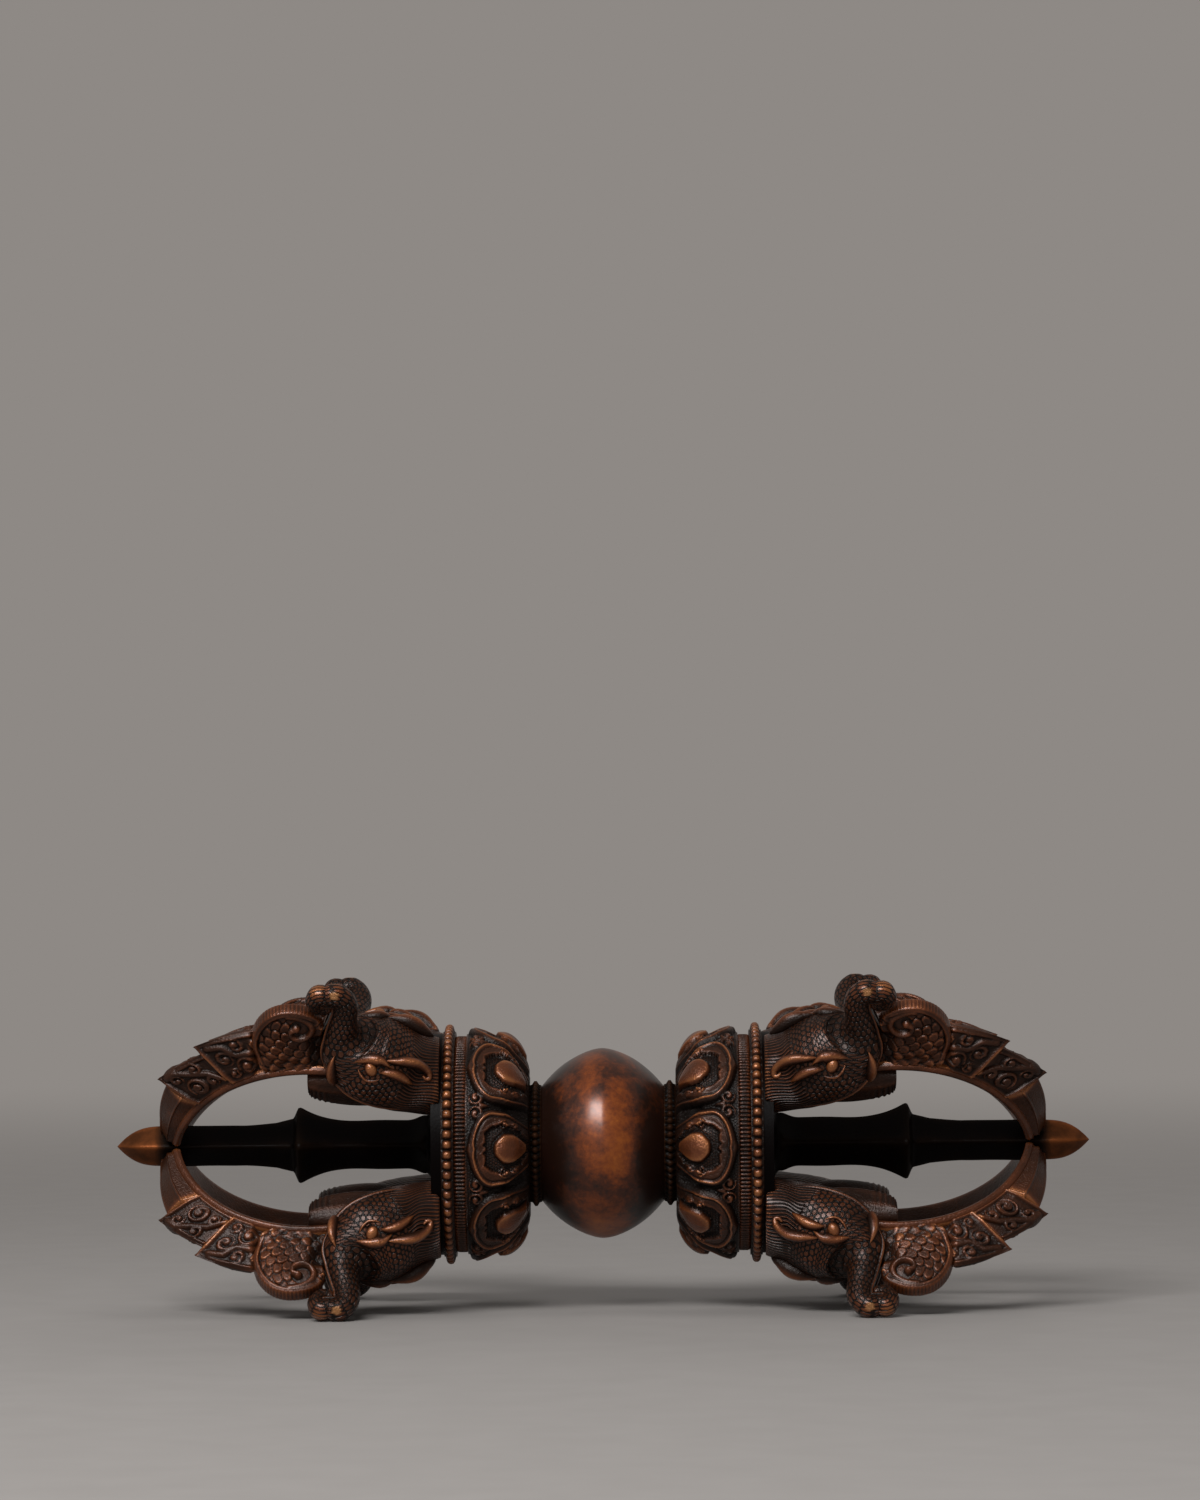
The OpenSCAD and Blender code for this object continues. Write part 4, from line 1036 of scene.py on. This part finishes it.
LEAF_STEMS = [
    [(13.0, 2.0), (10.4, 5.0), (7.0, 6.9), (4.4, 9.2), (1.8, 9.2)],
    [(17.0, 3.2), (13.6, 4.6), (10.6, 6.4), (7.0, 6.9), (5.4, 9.6), (2.2, 10.6)]]


def leaf_relief(leaf, back, up, tall):
    """Height of the chasing on a leaf, at back behind its front edge and up above the rail, in mm."""
    border = np.maximum(0.9 * ridge(back - 0.55, 0.55), 0.6 * ridge(up - 0.4, 0.4))
    border = np.maximum(border, 0.6 * ridge(tall - up - 0.4, 0.4))
    vine = np.zeros_like(back)
    for at_back, at_up, radius, turns, sense, start in LEAF_CURLS[leaf]:
        vine = np.maximum(vine, scroll(back - at_back, up - at_up, radius, turns, sense, start))
    stem = LEAF_STEMS[leaf]
    for (b0, u0), (b1, u1) in zip(stem, stem[1:]):
        share = ((back - b0) * (b1 - b0) + (up - u0) * (u1 - u0)) / ((b1 - b0) ** 2 + (u1 - u0) ** 2)
        share = np.clip(share, 0, 1)
        gap = np.hypot(back - b0 - share * (b1 - b0), up - u0 - share * (u1 - u0))
        vine = np.maximum(vine, ridge(gap, STEM_HALF))
    return np.maximum(border, vine)


def blade_form(segment):
    """Form of one stretch of the back: 0 the plain end, 1 the outer leaf, 2 the inner leaf."""
    start, end = BLADE_ENDS[segment], BLADE_ENDS[segment + 1]
    keel_at = KEEL_SHARE[segment]

    def form(across, along):
        closed = (along < 0.004) | (along > 0.996)
        along = np.clip((along - 0.008) / 0.984, 0, 1)
        half_turn = 1 - np.abs(across * 2 - 1)
        side = np.where(across < 0.5, 1.0, -1.0)
        foot, face, top = (np.clip((half_turn - low) / (high - low), 0, 1)
                           for low, high in ((0, 0.05), (0.05, 0.95), (0.95, 1)))
        reach = np.interp(along, np.linspace(0, 1, 4), BLADE_REACH[segment])
        slant = LEAF_SLANT * (1 - face)
        first = start + (slant if segment else 0)
        last = end + (slant if segment < 2 else 0)
        low_p, low_h, out_p, out_h, wide = on_arch(first + (last - first) * along)
        flank, keel = wide - RAIL_STEP, wide - RAIL_STEP - KEEL_STEP
        tall = reach - RAIL_T
        edge_half = EDGE_HALF * (0.3 + 0.7 * smooth_step(0, 0.3, along))
        w = np.where(face > keel_at, keel + (edge_half - keel) * (face - keel_at) / (1 - keel_at),
                     flank - KEEL_STEP * face / keel_at)
        s = RAIL_T - 0.3 + (tall + 0.3) * face
        slope_w, slope_s = tall * (1 - keel_at), keel - edge_half
        slope = np.hypot(slope_w, slope_s)
        toward_edge = smooth_step(keel_at - 0.04, keel_at + 0.04, face)
        out_w = 1 + (slope_w / slope - 1) * toward_edge
        out_s = slope_s / slope * toward_edge
        if segment:
            back = along * (last - first) * ARCH_MM_PER_DEGREE
            chasing = leaf_relief(segment - 1, back, face * tall, tall)
            height = LEAF_SWELL * (1 - along) + LEAF_CHASING * chasing - 0.7
            height = height - 0.6 * smooth_step(0.75, 1.0, face) * smooth_step(0.2, 0.0, along)
            if segment == 2:
                height = height - 1.8 * smooth_step(45.6, 43.6, low_p + out_p * s)
        else:
            height = 0.2 * ridge(face - keel_at, 0.06) - 0.3
        height = height * smooth_step(0, 0.03, face) * (1 - top)
        w = np.maximum(w + out_w * height, 0.1) * foot * (1 - top) * ~closed
        s = s + out_s * height + 0.3 * np.sin(top * math.pi / 2)
        wear_and_shade = np.full_like(s, BLADE_TOUCH[segment])
        return face_x + low_p + out_p * s, side * w, low_h + out_h * s, {"wear_and_shade": wear_and_shade}
    return form


for segment, rows in enumerate(BLADE_ROWS):
    blade = wrapped_sheet("blade_%d" % segment, BLADE_COLUMNS, rows, blade_form(segment))
    rub_high_points(blade, passes=14, depth=0.85)
    parts.append(blade)

# Setting the prongs: the finished prong is copied to its eight places, four round each end, each held by its
# tenon in the seat. The curls of the trunks carry worn flats, bare and golden, on which the vajra lies.
PRONG_TURNS = {"front_upper": 45, "front_lower": 135, "back_lower": 225, "back_upper": 315}
REST_REACH = vajra_middle.z
FLAT_MARGIN_MM = 0.05
bpy.ops.object.select_all(action="DESELECT")
for part in parts:
    part.select_set(True)
bpy.context.view_layer.objects.active = makara
bpy.ops.object.join()
prong = bpy.context.object
for spot, turn in PRONG_TURNS.items():
    for end_name, flip in (("right", 1), ("left", -1)):
        move = Matrix.Scale(flip, 4, (1, 0, 0)) @ Matrix.Rotation(math.radians(turn), 4, "X")
        placed = copy_piece(prong, "%s_%s_makara_prong" % (end_name, spot), move)
        points = np.empty(3 * len(placed.data.vertices))
        placed.data.vertices.foreach_get("co", points)
        points = points.reshape(-1, 3)
        point_values(placed, "bare", np.abs(points[:, 1:]).max(axis=1) > REST_REACH - FLAT_MARGIN_MM * MM)
        points[:, 1:] = np.clip(points[:, 1:], -REST_REACH, REST_REACH)
        points[:, 2] += REST_REACH
        placed.data.vertices.foreach_set("co", points.ravel())
        placed.data.update()
        fit_piece(placed, chased_copper, "%s_%s_prong" % (end_name, spot))
bpy.data.objects.remove(prong)

# Floor and light: a plain grey floor that fades into an even warm grey, a large soft lamp in front, above and
# to the left, weaker ones overhead and behind, and a low card in front that lifts the undersides.
FLOOR_GREYS = ("#85817e", "#888481")
BACKDROP_GREY = "#8e8985"
FADE_FROM_M, FADE_TO_M = 0.2, 1.6
PAPER_CLOUD_MM = 16.67
FILL_STRENGTH = 0.07


def seen_or_mirrored(tree):
    """Gives 1 to a ray from the camera, or from a surface that mirrors or bends it, and 0 to other rays."""
    ray = add_node(tree, "ShaderNodeLightPath").outputs
    seen = ray["Is Camera Ray"]
    for kind in ("Is Glossy Ray", "Is Transmission Ray"):
        seen = add_node(tree, "ShaderNodeMath", {0: seen, 1: ray[kind]}, operation="MAXIMUM")
    return seen


bpy.ops.object.select_all(action="DESELECT")
bpy.ops.mesh.primitive_plane_add(size=16)
floor = bpy.context.object
floor.name = "floor"

# Studio paper: matt grey card, a little cloudy, that gives a soft shadow and no horizon.
studio_paper, tree, shader, place = new_finish("studio_paper")
cloudy = add_node(tree, "ShaderNodeTexNoise", {"Vector": place, "Scale": 1 / (PAPER_CLOUD_MM * MM),
                                               "Detail": 4.0})
tones = add_node(tree, "ShaderNodeValToRGB", {"Fac": cloudy})
colour_stops(tones, [(0.3, FLOOR_GREYS[0]), (0.7, FLOOR_GREYS[1])])
set_inputs(tree, shader, {"Base Color": tones, "Roughness": 0.7, "Specular IOR Level": 0.2})
distance = add_node(tree, "ShaderNodeVectorMath", {0: place}, operation="LENGTH")
fade = add_node(tree, "ShaderNodeMapRange", {"Value": distance.outputs["Value"], "From Min": FADE_FROM_M,
                                             "From Max": FADE_TO_M}, interpolation_type="SMOOTHSTEP")
fade_seen = add_node(tree, "ShaderNodeMath", {0: fade, 1: seen_or_mirrored(tree)}, operation="MULTIPLY")
glow = add_node(tree, "ShaderNodeEmission", {"Color": linear(BACKDROP_GREY), "Strength": 1.0})
blend = add_node(tree, "ShaderNodeMixShader", {0: fade_seen, 1: shader, 2: glow})
set_inputs(tree, tree.nodes["Material Output"], {"Surface": blend})
floor.data.materials.append(studio_paper)

world = bpy.data.worlds.new("studio")
bpy.context.scene.world = world
world.use_nodes = True
tree = world.node_tree
fill_light = add_node(tree, "ShaderNodeBackground", {"Color": linear("#ffffff"), "Strength": FILL_STRENGTH})
backdrop = add_node(tree, "ShaderNodeBackground", {"Color": linear(BACKDROP_GREY), "Strength": 1.0})
blend = add_node(tree, "ShaderNodeMixShader", {0: seen_or_mirrored(tree), 1: fill_light, 2: backdrop})
set_inputs(tree, tree.nodes["World Output"], {"Surface": blend})


def softbox(name, stand, width, height, watts):
    """Adds a rectangular lamp that is turned to the middle of the vajra."""
    bpy.ops.object.light_add(type="AREA", location=stand)
    lamp = bpy.context.object
    lamp.name = name
    lamp.data.shape = "RECTANGLE"
    lamp.data.size, lamp.data.size_y = width, height
    lamp.data.energy = watts
    lamp.rotation_euler = (vajra_middle - Vector(stand)).to_track_quat("-Z", "Y").to_euler()
    return lamp


softbox("front_softbox", (-0.42, -1.05, 1.0), width=0.9, height=0.5, watts=25.5)
overhead = softbox("overhead_softbox", (0, 0.1, 1.3), width=1.2, height=0.6, watts=4.5)
bounce = softbox("bounce_card", (0.5, -2.6, 0.25), width=2.2, height=0.4, watts=18)
behind = softbox("back_softbox", (0.7, 2.4, 1.5), width=1.4, height=0.8, watts=14)
overhead.visible_glossy = bounce.visible_glossy = behind.visible_glossy = False

bpy.context.scene.view_settings.view_transform = "Standard"
